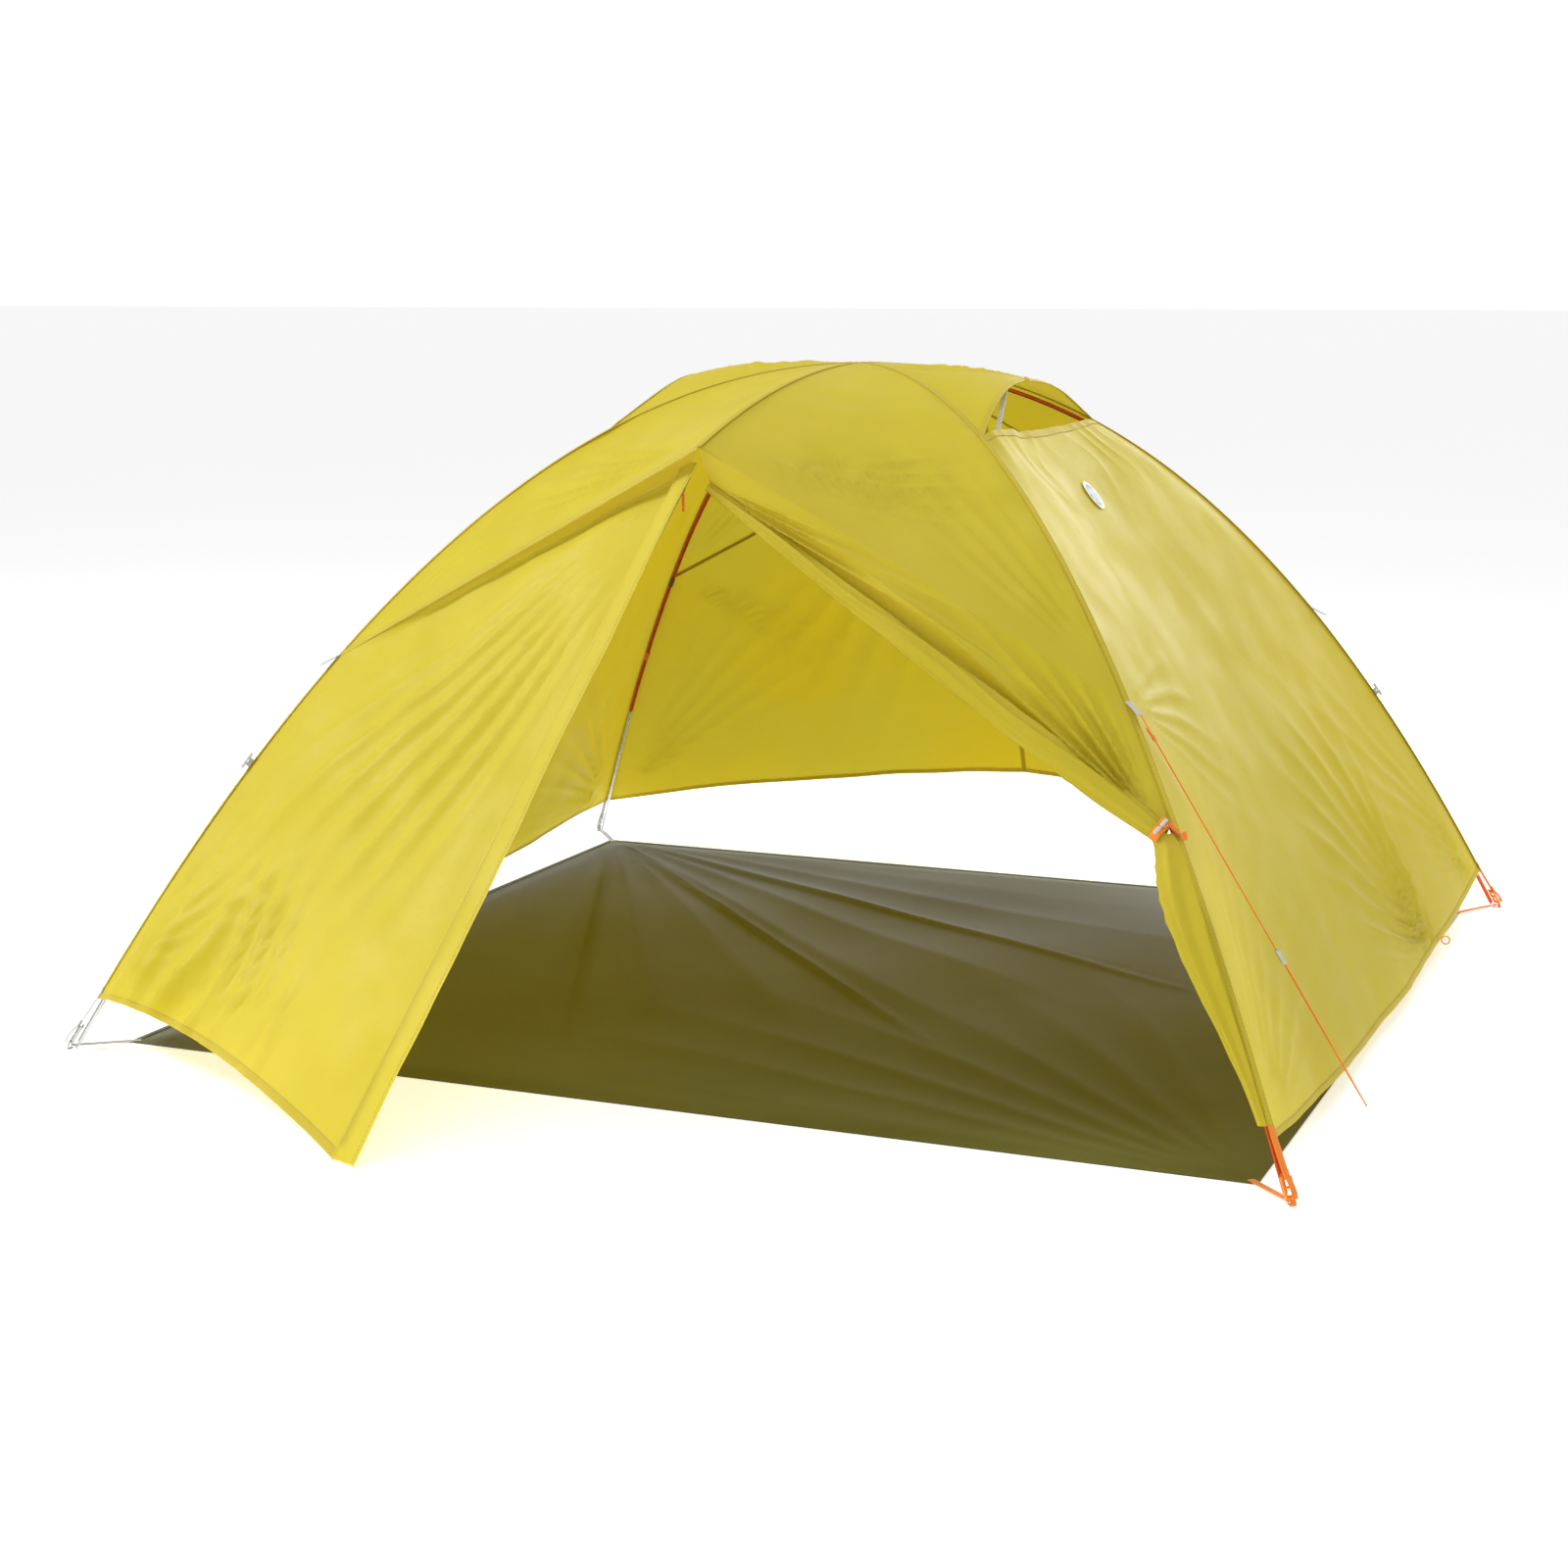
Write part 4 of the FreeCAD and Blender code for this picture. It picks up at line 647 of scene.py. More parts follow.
def sewn_seam(line, normals, width=BINDING, inside=True):
    """A flat-felled seam: a ribbon with two rows of stitches outside and a tape inside."""
    tangents = unit(np.gradient(line, axis=0))
    across = unit(np.cross(tangents, normals))
    band(line, normals, width, 0.0010)
    for side in (-0.33, 0.33):
        stitch(line + across * (side * width), normals)
    if inside:
        band(line, -normals, width * 0.8, 0.0010, slot=TAPE)


def row_of(points, normals, index):
    return points[:, index], normals[:, index]


def hem_band(points, normals):
    """A folded hem along the lower border of a grid, with one row of stitches."""
    depth = np.linalg.norm(points[:, 1] - points[:, 0], axis=-1).mean()
    count = max(2, int(round(HEM_WIDTH / depth)) + 1)
    strip = points[:, :count] + normals[:, :count] * 0.0011
    trim.add(strip, BAND)
    stitch(*row_of(points, normals, count - 1))


def leg_seams():
    """The four seams over the leg poles; the one beside the rolled door has no tape inside."""
    for quadrant in SIDES:
        reach = np.linspace(0.02, HEM_REACH, 180)
        line = seam(quadrant, reach)
        sewn_seam(line, leg_normal(quadrant, reach), inside=quadrant != "front_right")


def straight_seam(start, end, inside=True):
    line = run(start, end)(np.linspace(0, 1, 90))
    sewn_seam(line, -inward(line), inside=inside)


def roof_panels():
    """The four panels between the leg poles and the brow pole, and the seam over the brow pole."""
    for quadrant, (side_x, side_y) in SIDES.items():
        tip, base = brow(side_y), foot(quadrant)
        points = net(
            bottom=lambda t: ridge(side_y, BROW_REACH * np.atleast_1d(t)),
            top=leg_run(quadrant, VENT_REACH, ROOF_REACH),
            left=leg_run(quadrant, 0.0, VENT_REACH),
            right=run(tip, base),
            us=ROOF,
            vs=CROWN,
        )
        knee = seam(quadrant, 0.74)[0]
        shapes = [
            slack(0.005, 0.42, 11 + side_x),
            slack(0.0018, 0.15, 21 + side_y),
            fan_of(tip, knee, 0.42, 7, 0.30, 0.010, seed=3),
            fan_of(base, ridge(side_y, 0.45)[0], 0.30, 6, 0.16, 0.006, seed=9),
            crease_of(tip, knee, 0.020, 0.012),
        ]
        points, _ = displaced(points, shapes, border_mask(ROOF, CROWN, width=0.16))
        fly.add(points)
        if quadrant != "front_right":
            straight_seam(tip, base)
    reach = np.linspace(-BROW_REACH, BROW_REACH, 140)
    line = np.array([ridge(math.copysign(1, r), abs(r))[0] for r in reach])
    sewn_seam(line, np.tile(UP, (len(line), 1)))


def back_walls():
    """The two panels of the closed back, sewn together in the middle."""
    tip = brow(1)
    middle = np.array([0.0, *BACK_MIDDLE])
    for quadrant in ("back_left", "back_right"):
        points = net(
            bottom=run(hem(quadrant), middle, 0.15 / 8),
            top=run(foot(quadrant), tip),
            left=leg_run(quadrant, HEM_REACH, ROOF_REACH),
            right=run(middle, tip),
            us=CROWN,
            vs=WALL,
        )
        shapes = [
            slack(0.008, 0.55, 31),
            slack(0.0020, 0.16, 32),
            fan_of(tip, (hem(quadrant) + middle) / 2, 0.5, 9, 0.32, 0.011, seed=4),
            fan_of(hem(quadrant), tip, 0.32, 7, 0.20, 0.011, seed=6),
            fan_of(foot(quadrant), middle, 0.34, 6, 0.18, 0.009, seed=8),
        ]
        mask = border_mask(CROWN, WALL, free=("bottom",), width=0.14)
        points, normals = displaced(points, shapes, mask)
        fly.add(points)
        hem_band(points, normals)
    straight_seam(middle, tip, inside=False)


def end_walls():
    """The panels of the left and right ends, from the hem up to the vents' sills."""
    wall = np.linspace(HEM_REACH, ROOF_REACH, WALL_CELLS)
    roof = np.linspace(ROOF_REACH, VENT_REACH, ROOF_CELLS)[1:]
    reaches = np.concatenate([wall, roof])
    rises = (HEM_REACH - reaches) / (HEM_REACH - VENT_REACH)
    across = np.linspace(0, 1, END_CELLS)
    for side, side_x in (("left", -1), ("right", 1)):
        front, back = f"front_{side}", f"back_{side}"
        sill = seam(front, VENT_REACH)[0], seam(back, VENT_REACH)[0]
        points = net(
            bottom=run(hem(front), hem(back), -END_HEM_SAG),
            top=run(*sill, -VENT_SILL_SAG),
            left=leg_run(front, HEM_REACH, VENT_REACH),
            right=leg_run(back, HEM_REACH, VENT_REACH),
            us=across,
            vs=rises,
            swell=-END_HOLLOW,
        )
        loop = run(hem(front), hem(back), -END_HEM_SAG)(0.75 if side_x > 0 else 0.25)[0]
        middle = np.array([side_x * 0.95, 0.0, 0.62])
        shapes = [
            slack(0.009, 0.65, 41),
            slack(0.0020, 0.17, 42),
            fan_of(loop, middle, 0.95, 11, 0.20, 0.018, seed=14),
            fan_of(hem(back), middle, 0.55, 9, 0.20, 0.015, seed=15),
            fan_of(hem(front), middle, 0.50, 8, 0.22, 0.011, seed=16),
            fan_of(foot(front), middle, 0.5, 6, 0.15, 0.008, seed=18),
            lambda p, n: sill_gathers(p, side_x),
        ]
        mask = border_mask(across, rises, free=("bottom", "top"), width=0.07)
        mask = mask * flat_round(points, PATCH_PLACE, PATCH_KEPT_FLAT)
        points, normals = displaced(points, shapes, mask)
        sink = PATCH_SINK * (1 - flat_round(points, PATCH_PLACE, PATCH_KEPT_FLAT))
        points = points - normals * sink[..., None]
        fly.add(points)
        hem_band(points, normals)
        gathered = points[:, ::-1], normals[:, ::-1]
        hem_band(*gathered)


def sill_gathers(points, side_x):
    """Short upright folds that the elastic in the vent's sill makes in the cloth below it."""
    fall = np.clip((VENT_SILL_HEIGHT - VENT_SILL_SAG - points[..., 2]) / 0.10, 0, 3)
    ends = 0.25 + 0.75 * np.abs(points[..., 1]) / 0.39
    window = np.exp(-(fall ** 1.3)) * smooth(1.15 - np.abs(points[..., 1]) / 0.42) * ends
    phase = points[..., 1] / 0.105 + 0.9 * drift(points, 0.3, 77 + side_x)
    return 0.010 * window * pleat(phase) * (0.6 + 0.4 * drift(points, 0.2, 78))


def flat_round(points, place, radius):
    """0 near a place and 1 away from it."""
    return smooth(np.linalg.norm(points - place, axis=-1) / radius - 0.4)


def front_left():
    """The closed half of the front, which runs out to the stake."""
    quadrant = "front_left"
    tip, corner, base = brow(-1), hem(quadrant), foot(quadrant)
    points = net(
        bottom=run(corner, STAKE, 0.05),
        top=run(base, tip),
        left=leg_run(quadrant, HEM_REACH, ROOF_REACH),
        right=bent_run(STAKE, DOOR_TOP, tip),
        us=CROWN,
        vs=WALL,
    )
    hem_line = unit(STAKE - corner)
    low = corner + (STAKE - corner) * 0.36 + UP * 0.17
    lower = corner + (STAKE - corner) * 0.55 + UP * 0.13
    shapes = [
        slack(0.008, 0.6, 51),
        slack(0.0022, 0.16, 52),
        ripples_of(low, hem_line, 0.085, (0.44, 0.34), 0.022, 53),
        ripples_of(lower, hem_line, 0.05, (0.3, 0.16), 0.012, 54),
        crease_of(STAKE + UP * 0.02, STAKE + np.array([0.02, 0.22, 0.60]), 0.022, 0.026),
        fan_of(tip, low, 0.40, 9, 0.45, 0.014, seed=55),
        crease_of(tip + (base - tip) * 0.12 - UP * 0.05, base - UP * 0.16, 0.020, 0.015),
        crease_of(tip + (base - tip) * 0.30 - UP * 0.10, base - UP * 0.26, 0.022, 0.011),
        fan_of(corner, DOOR_TOP, 0.5, 8, 0.16, 0.011, seed=56),
    ]
    mask = border_mask(CROWN, WALL, free=("bottom",), width=0.10)
    points, normals = displaced(points, shapes, mask)
    fly.add(points)
    hem_band(points, normals)


# ---- door edge and storm flap

DOWN = unit(STAKE - DOOR_TOP)
DOOR_OUT = unit(np.cross(DOWN, unit(hem("front_left") - STAKE)))
DOOR_OUT = DOOR_OUT * (-1 if DOOR_OUT[1] > 0 else 1)
DOOR_ACROSS = unit(np.cross(DOOR_OUT, DOWN))
DOOR_ACROSS = DOOR_ACROSS * (-1 if DOOR_ACROSS[0] < 0 else 1)


def storm_flap():
    """The strip over the zip: sewn along one edge, free and a little wavy along the other."""
    t = np.linspace(0, 1, WALL_CELLS * 2)[:, None, None]
    s = np.linspace(0, 1, 9)[None, :, None]
    line = (DOOR_TOP + UP * 0.012) * (1 - t) + (STAKE - DOWN * 0.002) * t
    width = FLAP_TOP_WIDTH * (1 - t) + FLAP_HEM_WIDTH * t
    wave = drift(line, 0.34, 61)[..., None] * 0.0022 + drift(line, 0.13, 62)[..., None] * 0.0009
    lift = 0.0045 * (1 - t) + 0.0030 + s * (0.003 + wave) - 0.0022 * s ** 3
    points = line + DOOR_ACROSS * (s * width - FLAP_BEHIND) + DOOR_OUT * lift
    points[..., 2] = np.maximum(points[..., 2], 0.002)
    fly.add(points)
    normals = grid_normals(points)
    stitch(*row_of(points, normals, 1), lift=0.001)
    stitch(*row_of(points, normals, 7), lift=0.001, pitch=0.009)


# ---- rolled half of the door

DOOR_SIDE = unit(np.array([*(STAKE - hem("front_right"))[:2], 0.0]))
ROLL_START = np.array([0.008, DOOR_TOP[1] - 0.007, DOOR_TOP[2] - 0.028])
ROLL_NECK = seam("front_right", TIE_REACH)[0] + DOOR_SIDE * 0.027
ROLL_ALONG = unit(ROLL_NECK - ROLL_START)
ROLL_UP = foot("front_right") - ROLL_START
ROLL_UP = unit(ROLL_UP - ROLL_ALONG * (ROLL_UP @ ROLL_ALONG))
ROLL_OUT = unit(np.cross(ROLL_ALONG, ROLL_UP))
ROLL_OUT = ROLL_OUT * (-1 if ROLL_OUT[1] > 0 else 1)


def roll_centre(t):
    t = column(t)
    return ROLL_START + (ROLL_NECK - ROLL_START) * t - ROLL_UP * (4 * t * (1 - t) * 0.004)


def roll_radius(t):
    """Radius of the rolled door, which grows from the apex and is pinched at the tie-back."""
    t = np.atleast_1d(t)
    return (0.009 + 0.018 * t ** 0.7) * (1 - 0.444 * t ** 10)


def folded_tube(centres, radii, side, out, lobes, depth, twist, seed, flat=0.85, around=64):
    """A gathered tube of cloth: rings whose edge is thrown into folds that wander along it."""
    angle = np.linspace(0, 2 * math.pi, around, endpoint=False)[None, :]
    t = np.linspace(0, 1, len(centres))[:, None]
    source = np.random.RandomState(seed)
    wander = 0.0
    for k in range(1, 4):
        size = source.uniform(-0.25, 0.25)
        wander = wander + size * np.sin(2 * math.pi * k * t + source.uniform(0, 6))
    phase = lobes * (angle + twist * t) / (2 * math.pi) + wander
    uneven = 0.65 + 0.35 * np.sin(2 * angle + source.uniform(0, 6) + 3 * t)
    radius = radii[:, None] * (1 + np.atleast_1d(depth)[:, None] * pleat(phase) * uneven)
    x = (np.cos(angle) * radius)[..., None]
    y = (np.sin(angle) * radius * flat)[..., None]
    return centres[:, None] + x * side + y * out


def rolled_door():
    """The open half of the door: the roll itself and the panel between it and the roof."""
    t = np.linspace(0, 1, int(150 * DETAIL))
    depth = 0.16 + 0.14 * np.sin(math.pi * t) + 0.12 * t ** 6
    radii = roll_radius(t) * 1.06
    points = folded_tube(roll_centre(t), radii, ROLL_UP, ROLL_OUT, 7, depth, 0.8, 71)
    fly.add(points, closed=True)

    corner = seam("front_right", TIE_REACH - TIE_GAP)[0]

    def lower_edge(t):
        tucked = roll_centre(t) + ROLL_UP * column(roll_radius(t) * 0.55)
        end = roll_centre(1) + ROLL_UP * roll_radius(1)[0] * 0.55
        return tucked + (corner - end) * column(t) ** 10

    vs = np.linspace(0, 1, int(46 * DETAIL))
    us = np.linspace(0, 1, CROWN_CELLS * 2)
    points = net(
        bottom=lower_edge,
        top=run(brow(-1), foot("front_right")),
        left=run(lower_edge(0)[0], brow(-1)),
        right=leg_run("front_right", TIE_REACH - TIE_GAP, ROOF_REACH),
        us=us,
        vs=vs,
    )
    apex = lower_edge(0)[0]
    shapes = [
        slack(0.004, 0.3, 81),
        fan_of(ROLL_NECK, apex + ROLL_UP * 0.12, 0.55, 11, 0.30, 0.028, seed=82),
        fan_of(apex, ROLL_NECK + ROLL_UP * 0.10, 0.24, 6, 0.34, 0.018, seed=83),
        crease_of(ROLL_NECK, (apex + foot("front_right")) / 2, 0.014, 0.012),
    ]
    free = smooth((1 - vs) * 1.2)[None, :]
    mask = border_mask(us, vs, free=("bottom",), width=0.10) * (0.25 + 0.75 * free)
    points, _ = displaced(points, shapes, mask)
    fly.add(points)


def door_skirt():
    """The cloth gathered along the leg between the tie-back and the hem."""
    t = np.linspace(0, 1, int(130 * DETAIL))
    reach = (TIE_REACH + TIE_GAP) + (HEM_REACH - 0.012 - TIE_REACH - TIE_GAP) * t
    radii = 0.015 * (1 - t) + 0.006 * t + 0.013 * 6.75 * t * (1 - t) ** 2
    centres = seam("front_right", reach) + DOOR_SIDE * (radii + 0.007)[:, None]
    start = 1 - smooth(t / 0.05)
    centres = centres + (ROLL_NECK - centres[0]) * start[:, None]
    normals = leg_normal("front_right", reach)
    angle = np.linspace(0, 2 * math.pi, 64, endpoint=False)[None, :]
    phase = 5 * angle / (2 * math.pi) + 0.25 * np.sin(4 * t)[:, None] + 0.5 * t[:, None]
    depth = (0.16 + 0.22 * smooth(t * 3) * smooth((1 - t) * 4))[:, None]
    radius = radii[:, None] * (1 + depth * pleat(phase))
    x = (np.cos(angle) * radius * 1.25)[..., None]
    y = (np.sin(angle) * radius * 0.7)[..., None]
    points = centres[:, None] + x * DOOR_SIDE + y * normals[:, None]
    fly.add(points, closed=True)


roof_panels()
back_walls()
end_walls()
front_left()
storm_flap()
rolled_door()
door_skirt()
leg_seams()

cover = fly.build("fly", [fly_cloth])
seams = trim.build("fly_seams", [seam_cloth, seam_tape], weld=1e-5, outside=False)
sewing = stitches.build("fly_stitching", [thread], weld=1e-6, outside=False)
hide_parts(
    *[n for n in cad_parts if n.startswith(("fly_roof", "fly_end", "fly_back", "fly_front"))],
    "storm_flap", "rolled_door", "door_skirt",
)
for piece in (cover, seams, sewing):
    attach(piece, "tent")


# ---- vent hoods


def vent_arch(quadrant):
    corner = seam(quadrant, VENT_REACH)[0]
    peak = np.array([SIDES[quadrant][0] * VENT_PEAK[0], 0.0, VENT_PEAK[1]])

    def points(t):
        t = column(t)
        level = corner + (peak - corner) * t
        bent = corner + (peak - corner) * (1 - (1 - t) ** 2)
        return np.concatenate([bent[:, :1], level[:, 1:2], bent[:, 2:]], axis=1)

    return points


def half_of_grid(points, upper):
    """Faces of the half of a square grid on one side of its diagonal."""
    size = len(points)
    faces = []
    for i in range(size - 1):
        for j in range(size - 1):
            a, b = i * size + j, i * size + j + 1
            c, d = (i + 1) * size + j + 1, (i + 1) * size + j
            if (i > j) == upper and i != j:
                faces.append((a, b, c, d))
            elif i == j:
                faces.append((a, c, d) if upper else (a, b, c))
    return faces


def drop_loose(work):
    bmesh.ops.delete(work, geom=[v for v in work.verts if not v.link_faces], context="VERTS")


def vent_hood(side, side_x):
    """Two halves of a vent's hood, in one shape; the real hood droops as its prop folds down."""
    front, back = f"front_{side}", f"back_{side}"
    cells = np.linspace(0, 1, int(61 * DETAIL))
    points = net(
        bottom=leg_run(front, 0.0, VENT_REACH),
        top=vent_arch(back),
        left=leg_run(back, 0.0, VENT_REACH),
        right=vent_arch(front),
        us=cells,
        vs=cells,
    )
    peak = vent_arch(front)(1)[0]
    hub = np.array([0.0, 0.0, RIDGE])
    shapes = [
        slack(0.004, 0.30, 91),
        fan_of(peak, hub, 0.7, 7, 0.12, 0.006, seed=92),
        fan_of(hub, peak, 0.5, 8, 0.2, 0.004, seed=93),
    ]
    mask = border_mask(cells, cells, free=("right", "top"), width=0.14)
    points, _ = displaced(points, shapes, mask)
    for half, upper, quadrant in (("front", True, front), ("back", False, back)):
        cloth = Cloth()
        cloth.add(points)
        cloth.faces = half_of_grid(points, upper)
        cloth.slots = [0] * len(cloth.faces)
        rim = points[-1, :] if upper else points[:, -1]
        out = np.tile(unit(np.array([side_x * 0.5, 0, 1.0])), (len(rim), 1))
        band(rim, out, BINDING, 0.0012, cloth, TAPE)
        band(rim, -out, BINDING, 0.0012, cloth, TAPE)
        obj = cloth.build(f"vent_hood_{half}_{side}", [fly_cloth, seam_cloth])
        change_mesh(obj.data, drop_loose)
        line = outward(quadrant)
        start = line * (peak @ line)
        start[2] = peak[2]
        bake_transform(obj)
        if upper:
            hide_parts(f"vent_hood_{side}")


for hood_side, hood_x in (("left", -1), ("right", 1)):
    vent_hood(hood_side, hood_x)


# ---- round patch


def patch_face():
    """The blank middle of the round patch, a shade darker than its rim."""
    size = PATCH_HIGH - PATCH_LOW
    upwards = unit(np.array([-size[0], 0.0, size[2]]))
    out = unit(np.cross(DEEP, upwards))
    out = out * (1 if out[0] > 0 else -1)
    angle = np.linspace(0, 2 * math.pi, 48, endpoint=False)[None, :]
    share = np.linspace(0.02, 0.8, 6)[:, None]
    rise = (0.035 * share * np.cos(angle))[..., None]
    along = (0.029 * share * np.sin(angle))[..., None]
    points = PATCH_PLACE + rise * upwards + along * DEEP
    cloth = Cloth()
    cloth.add(points + out * (0.0011 - 0.0002 * share[..., None]), closed=True)
    obj = cloth.build("patch_face", [patch_middle], weld=1e-6, outside=False)
    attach(obj, "tent")


patch_face()

# ---- footprint


def footprint():
    """The sheet on the ground, with creases that run out of its back left corner."""
    across = np.linspace(-1, 1, int(170 * DETAIL))
    deep = np.linspace(-1, 1, int(160 * DETAIL))
    x, y = np.meshgrid(across * FLOOR_HIGH[0], deep * FLOOR_HIGH[1], indexing="ij")
    points = np.stack([x, y, np.zeros_like(x)], axis=-1)
    normals = np.tile(UP, (*x.shape, 1))
    corner = np.array([FLOOR_LOW[0], FLOOR_HIGH[1], 0.0])
    right = np.array([FLOOR_HIGH[0], FLOOR_LOW[1], 0.0])
    edge = 1 - np.maximum(np.abs(across)[:, None], np.abs(deep)[None, :])
    rise = 0.0035 + 0.0016 * drift(points, 0.8, 101) + 0.0002 * drift(points, 0.22, 102)
    rise += fan(points, normals, corner, right * 0.6, 0.70, 9, 0.8, 0.0045, seed=103)
    rise += fan(points, normals, right, corner * 0.4, 0.8, 9, 0.5, 0.0035, seed=104)
    for start, end, width, depth in (
        ([0.05, -0.03, 0.0], [0.35, -0.5, 0.0], 0.012, 0.006),
        ([0.03, -0.06, 0.0], [-0.35, -0.75, 0.0], 0.010, 0.005),
        ([0.06, -0.02, 0.0], [0.75, 0.1, 0.0], 0.012, 0.005),
    ):
        rise += crease(points, corner + start, end, width, depth)
    points[..., 2] = 0.0009 + np.maximum(rise, 0) * smooth(edge / 0.06)
    cloth = Cloth()
    cloth.add(points, 0)
    normals = grid_normals(points)
    for line, index, axis in ((0, 4, 0), (-1, -5, 0), (0, 4, 1), (-1, -5, 1)):
        rows = (points[line], points[index]) if axis == 0 else (points[:, line], points[:, index])
        width = BINDING / np.linalg.norm(rows[1] - rows[0], axis=-1).mean()
        strip = np.stack([rows[0], rows[0] * (1 - width) + rows[1] * width], axis=1)
        cloth.add(strip + UP * 0.0011, 1)
    obj = cloth.build("footprint_sheet", [floor_cloth, floor_cloth], weld=1e-5)
    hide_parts("footprint")
    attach(obj, "tent")


footprint()


# ---- webbing, straps and cord


def tape(name, points, across, width, material, thickness=0.0011, steps=10):
    """A strip of webbing along a smooth line through some points."""
    knots = np.asarray(points, dtype=float)
    ends = np.vstack([2 * knots[0] - knots[1], knots, 2 * knots[-1] - knots[-2]])
    rows = []
    for a, b, c, d in zip(ends, ends[1:], ends[2:], ends[3:]):
        for t in np.linspace(0, 1, steps, endpoint=False):
            rows.append(
                0.5 * (2 * b + (c - a) * t + (2 * a - 5 * b + 4 * c - d) * t ** 2
                       + (3 * b - a - 3 * c + d) * t ** 3)
            )
    rows.append(knots[-1])
    line = np.array(rows)
    tangents = unit(np.gradient(line, axis=0))
    side = np.tile(np.asarray(across, dtype=float), (len(line), 1))
    side = unit(side - tangents * np.sum(side * tangents, axis=1, keepdims=True))
    normal = unit(np.cross(tangents, side))
    profile = [
        (-0.5, 0), (-0.46, 0.5), (0, 0.55), (0.46, 0.5),
        (0.5, 0), (0.46, -0.5), (0, -0.55), (-0.46, -0.5),
    ]
    columns = [line + side * (x * width) + normal * (y * thickness) for x, y in profile]
    cloth = Cloth()
    cloth.add(np.stack(columns, axis=1), closed=True)
    obj = cloth.build(name, [material], weld=1e-7)

    def close_ends(work):
        rims = [e for e in work.edges if e.is_boundary]
        bmesh.ops.holes_fill(work, edges=rims, sides=len(profile))
        bmesh.ops.recalc_face_normals(work, faces=work.faces)

    change_mesh(obj.data, close_ends)
    return obj


def route(origin, down, normal, steps):
    return [origin + down * fall + normal * lift for fall, lift in steps]


def corner_straps():
    """Strap from the fly to the buckle and back, and the loop from the buckle to the pole tip."""
    for quadrant, (side_x, side_y) in SIDES.items():
        side = "right" if side_x > 0 else "left"
        material = orange_webbing if side_x > 0 else pale_webbing
        low, high = (np.array(c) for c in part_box(f"corner_buckle_{quadrant}"))
        down = leg_tangent(quadrant, HEM_REACH)[0]
        normal = leg_normal(quadrant, HEM_REACH)[0]
        across = np.cross(normal, down)
        centre = (low + high) / 2
        upper, lower = centre - down * BUCKLE_BAR, centre + down * BUCKLE_BAR
        corner = hem(quadrant) + normal * 0.0012
        round_bar = (-0.010, 0.0032), (0, 0.0037), (0.0034, 0), (0, -0.0037), (-0.008, -0.0034)
        around = route(corner, down, normal, ((-0.024, 0), (-0.004, 0)))
        around += route(upper, down, normal, round_bar)
        strap = tape(f"fly_strap_{quadrant}", around, across, 0.0128, material)
        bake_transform(strap)
        if side_y < 0:
            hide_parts(f"fly_straps_{side}")
        over = (-0.012, 0.0055), (-0.001, 0.0060), (0.014, 0.0105), (0.030, 0.0125), (0.040, 0.0105)
        over = route(upper, down, normal, over)
        tail = tape(f"strap_tail_{quadrant}", over, across, 0.0120, material)
        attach(tail, f"buckle_{quadrant}")
        ground = np.array([side_x * TIP[0], side_y * TIP[1], 0.0])
        loop = [
            ground - outward(quadrant) * 0.010 + UP * 0.0045,
            ground + outward(quadrant) * 0.001 + UP * 0.0035,
        ]
        round_bar = (0.0030, 0.0030), (0, 0.0040), (-0.0036, 0), (0, -0.0036)
        loop += route(lower, down, normal, round_bar)
        link = tape(f"tip_loop_{quadrant}", loop, across, 0.0115, material)
        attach(link, "tent")


corner_straps()


def tie_band():
    """Webbing round the neck of the rolled door, with a tail sewn to the leg seam."""
    centre = ROLL_NECK - ROLL_ALONG * 0.009
    angles = np.linspace(0.35, 2 * math.pi + 0.25, 26)
    round_it = [ROLL_UP * math.cos(a) + ROLL_OUT * 0.92 * math.sin(a) for a in angles]
    ring = [centre + direction * 0.0185 for direction in round_it]
    obj = tape("tie_band_webbing", ring, ROLL_ALONG, 0.018, orange_webbing, 0.0013, 4)
    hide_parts("tie_band")
    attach(obj, "tent")
    leg = seam("front_right", TIE_REACH)[0]
    normal = leg_normal("front_right", TIE_REACH)[0]
    tail = [
        centre + ROLL_OUT * 0.0190 + ROLL_UP * 0.004,
        centre + ROLL_OUT * 0.0200 + ROLL_UP * 0.018,
        leg + normal * 0.004,
        leg + normal * 0.002 - DOOR_SIDE * 0.014,
    ]
    obj = tape("tie_band_tail", tail, ROLL_ALONG, 0.016, orange_webbing, 0.0012, 6)
    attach(obj, "tent")


tie_band()

GUYLINE_ROUTE = [
    (0.852314, -0.818669, 0.746789),
    (1.235314, -0.581669, 0.003),
    (1.239523, -0.588472, 0.003),
    (1.089004, -0.681613, 0.295309),
]


def guyline():
    """From the guy tab to the stake's place and back up to the tensioner."""
    curve = bpy.data.curves.new("guyline_cord", "CURVE")
    curve.dimensions = "3D"
    curve.bevel_depth = GUYLINE_RADIUS
    curve.bevel_resolution = 4
    curve.use_fill_caps = True
    curve.resolution_u = 48
    spline = curve.splines.new("NURBS")
    spline.points.add(len(GUYLINE_ROUTE) - 1)
    for point, place in zip(spline.points, GUYLINE_ROUTE):
        point.co = (*place, 1.0)
    spline.order_u = 3
    spline.use_endpoint_u = True
    curve.materials.append(cord_cloth)
    obj = placed("guyline_cord", curve)
    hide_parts("guyline")
    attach(obj, "tent")


guyline()

# ---- floor, light and camera

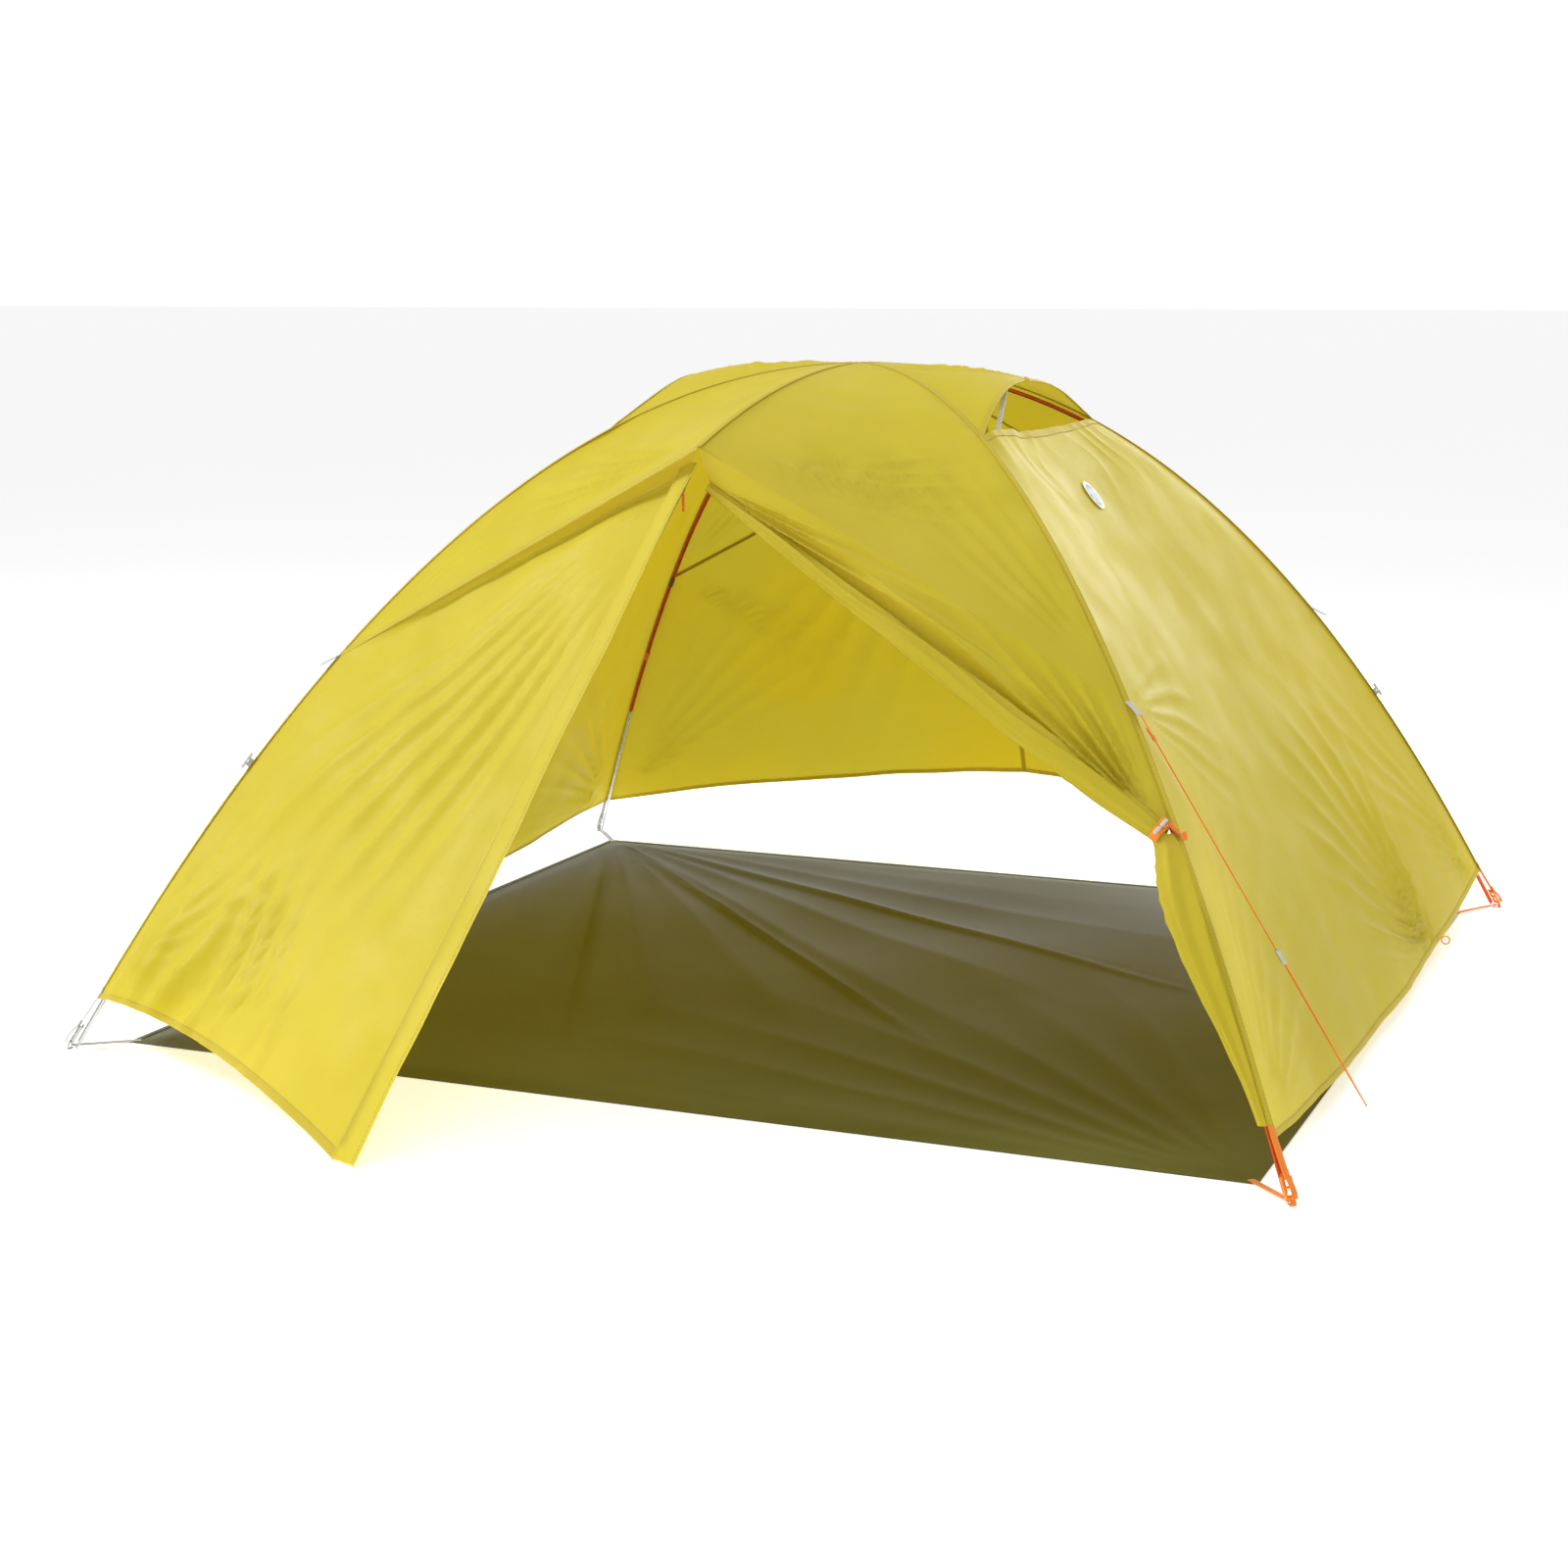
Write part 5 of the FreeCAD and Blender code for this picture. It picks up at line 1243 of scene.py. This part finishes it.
# The camera's place comes from matching points of the tent in the photo: metres, millimetres
# and degrees below the horizon and about the vertical.
CAMERA_PLACE = (2.0877, -5.453, 1.4941)
CAMERA_LENS, SENSOR_WIDTH = 62.0, 36.0
CAMERA_DOWN, CAMERA_TURN = 10.382, 22.546


def floor():
    bpy.ops.mesh.primitive_plane_add(size=400, location=(0, 0, 0))
    plane = bpy.context.object
    plane.name = "floor"
    material, tree, shader = new_material("pale_floor")
    clouds = noise(tree, add(tree, "ShaderNodeTexCoord").outputs["Object"], 0.8)
    tone = mix_colours(tree, clouds, (0.90, 0.90, 0.90), (0.93, 0.93, 0.93))
    tree.links.new(tone, shader.inputs["Base Color"])
    set_values(shader, Roughness=0.9, Emission_Color=(1, 1, 1, 1), Emission_Strength=0.5)
    plane.data.materials.append(material)


def area_light(name, place, aim, size, power):
    data = bpy.data.lights.new(name, "AREA")
    data.size = size
    data.energy = power
    obj = placed(name, data)
    obj.location = place
    obj.rotation_euler = (Vector(aim) - Vector(place)).to_track_quat("-Z", "Y").to_euler()


def lights_and_camera():
    world = bpy.data.worlds.new("studio")
    world.use_nodes = True
    tree = world.node_tree
    height = add(tree, "ShaderNodeSeparateXYZ")
    tree.links.new(add(tree, "ShaderNodeTexCoord").outputs["Generated"], height.inputs[0])
    strength = spread_of(tree, height.outputs["Z"], 0.10, 0.45, 1.05, 0.40)
    tree.links.new(strength, tree.nodes["Background"].inputs["Strength"])
    tree.nodes["Background"].inputs["Color"].default_value = (1, 1, 1, 1)
    bpy.context.scene.world = world
    bpy.context.scene.view_settings.view_transform = "Standard"
    area_light("key", (-4.9, -2.2, 3.9), (0, -0.3, 0.5), 1.2, 250)
    area_light("top", (1.2, -0.8, 5.5), (0, 0, 0.5), 3.0, 110)
    area_light("back", (1.0, 5.0, 2.6), (0, 0.8, 0.6), 3.0, 150)
    data = bpy.data.cameras.new("camera")
    data.lens = CAMERA_LENS
    data.sensor_width = SENSOR_WIDTH
    camera = placed("camera", data)
    camera.location = CAMERA_PLACE
    camera.rotation_euler = (math.radians(90 - CAMERA_DOWN), 0.0, math.radians(CAMERA_TURN))
    bpy.context.scene.camera = camera


floor()
lights_and_camera()
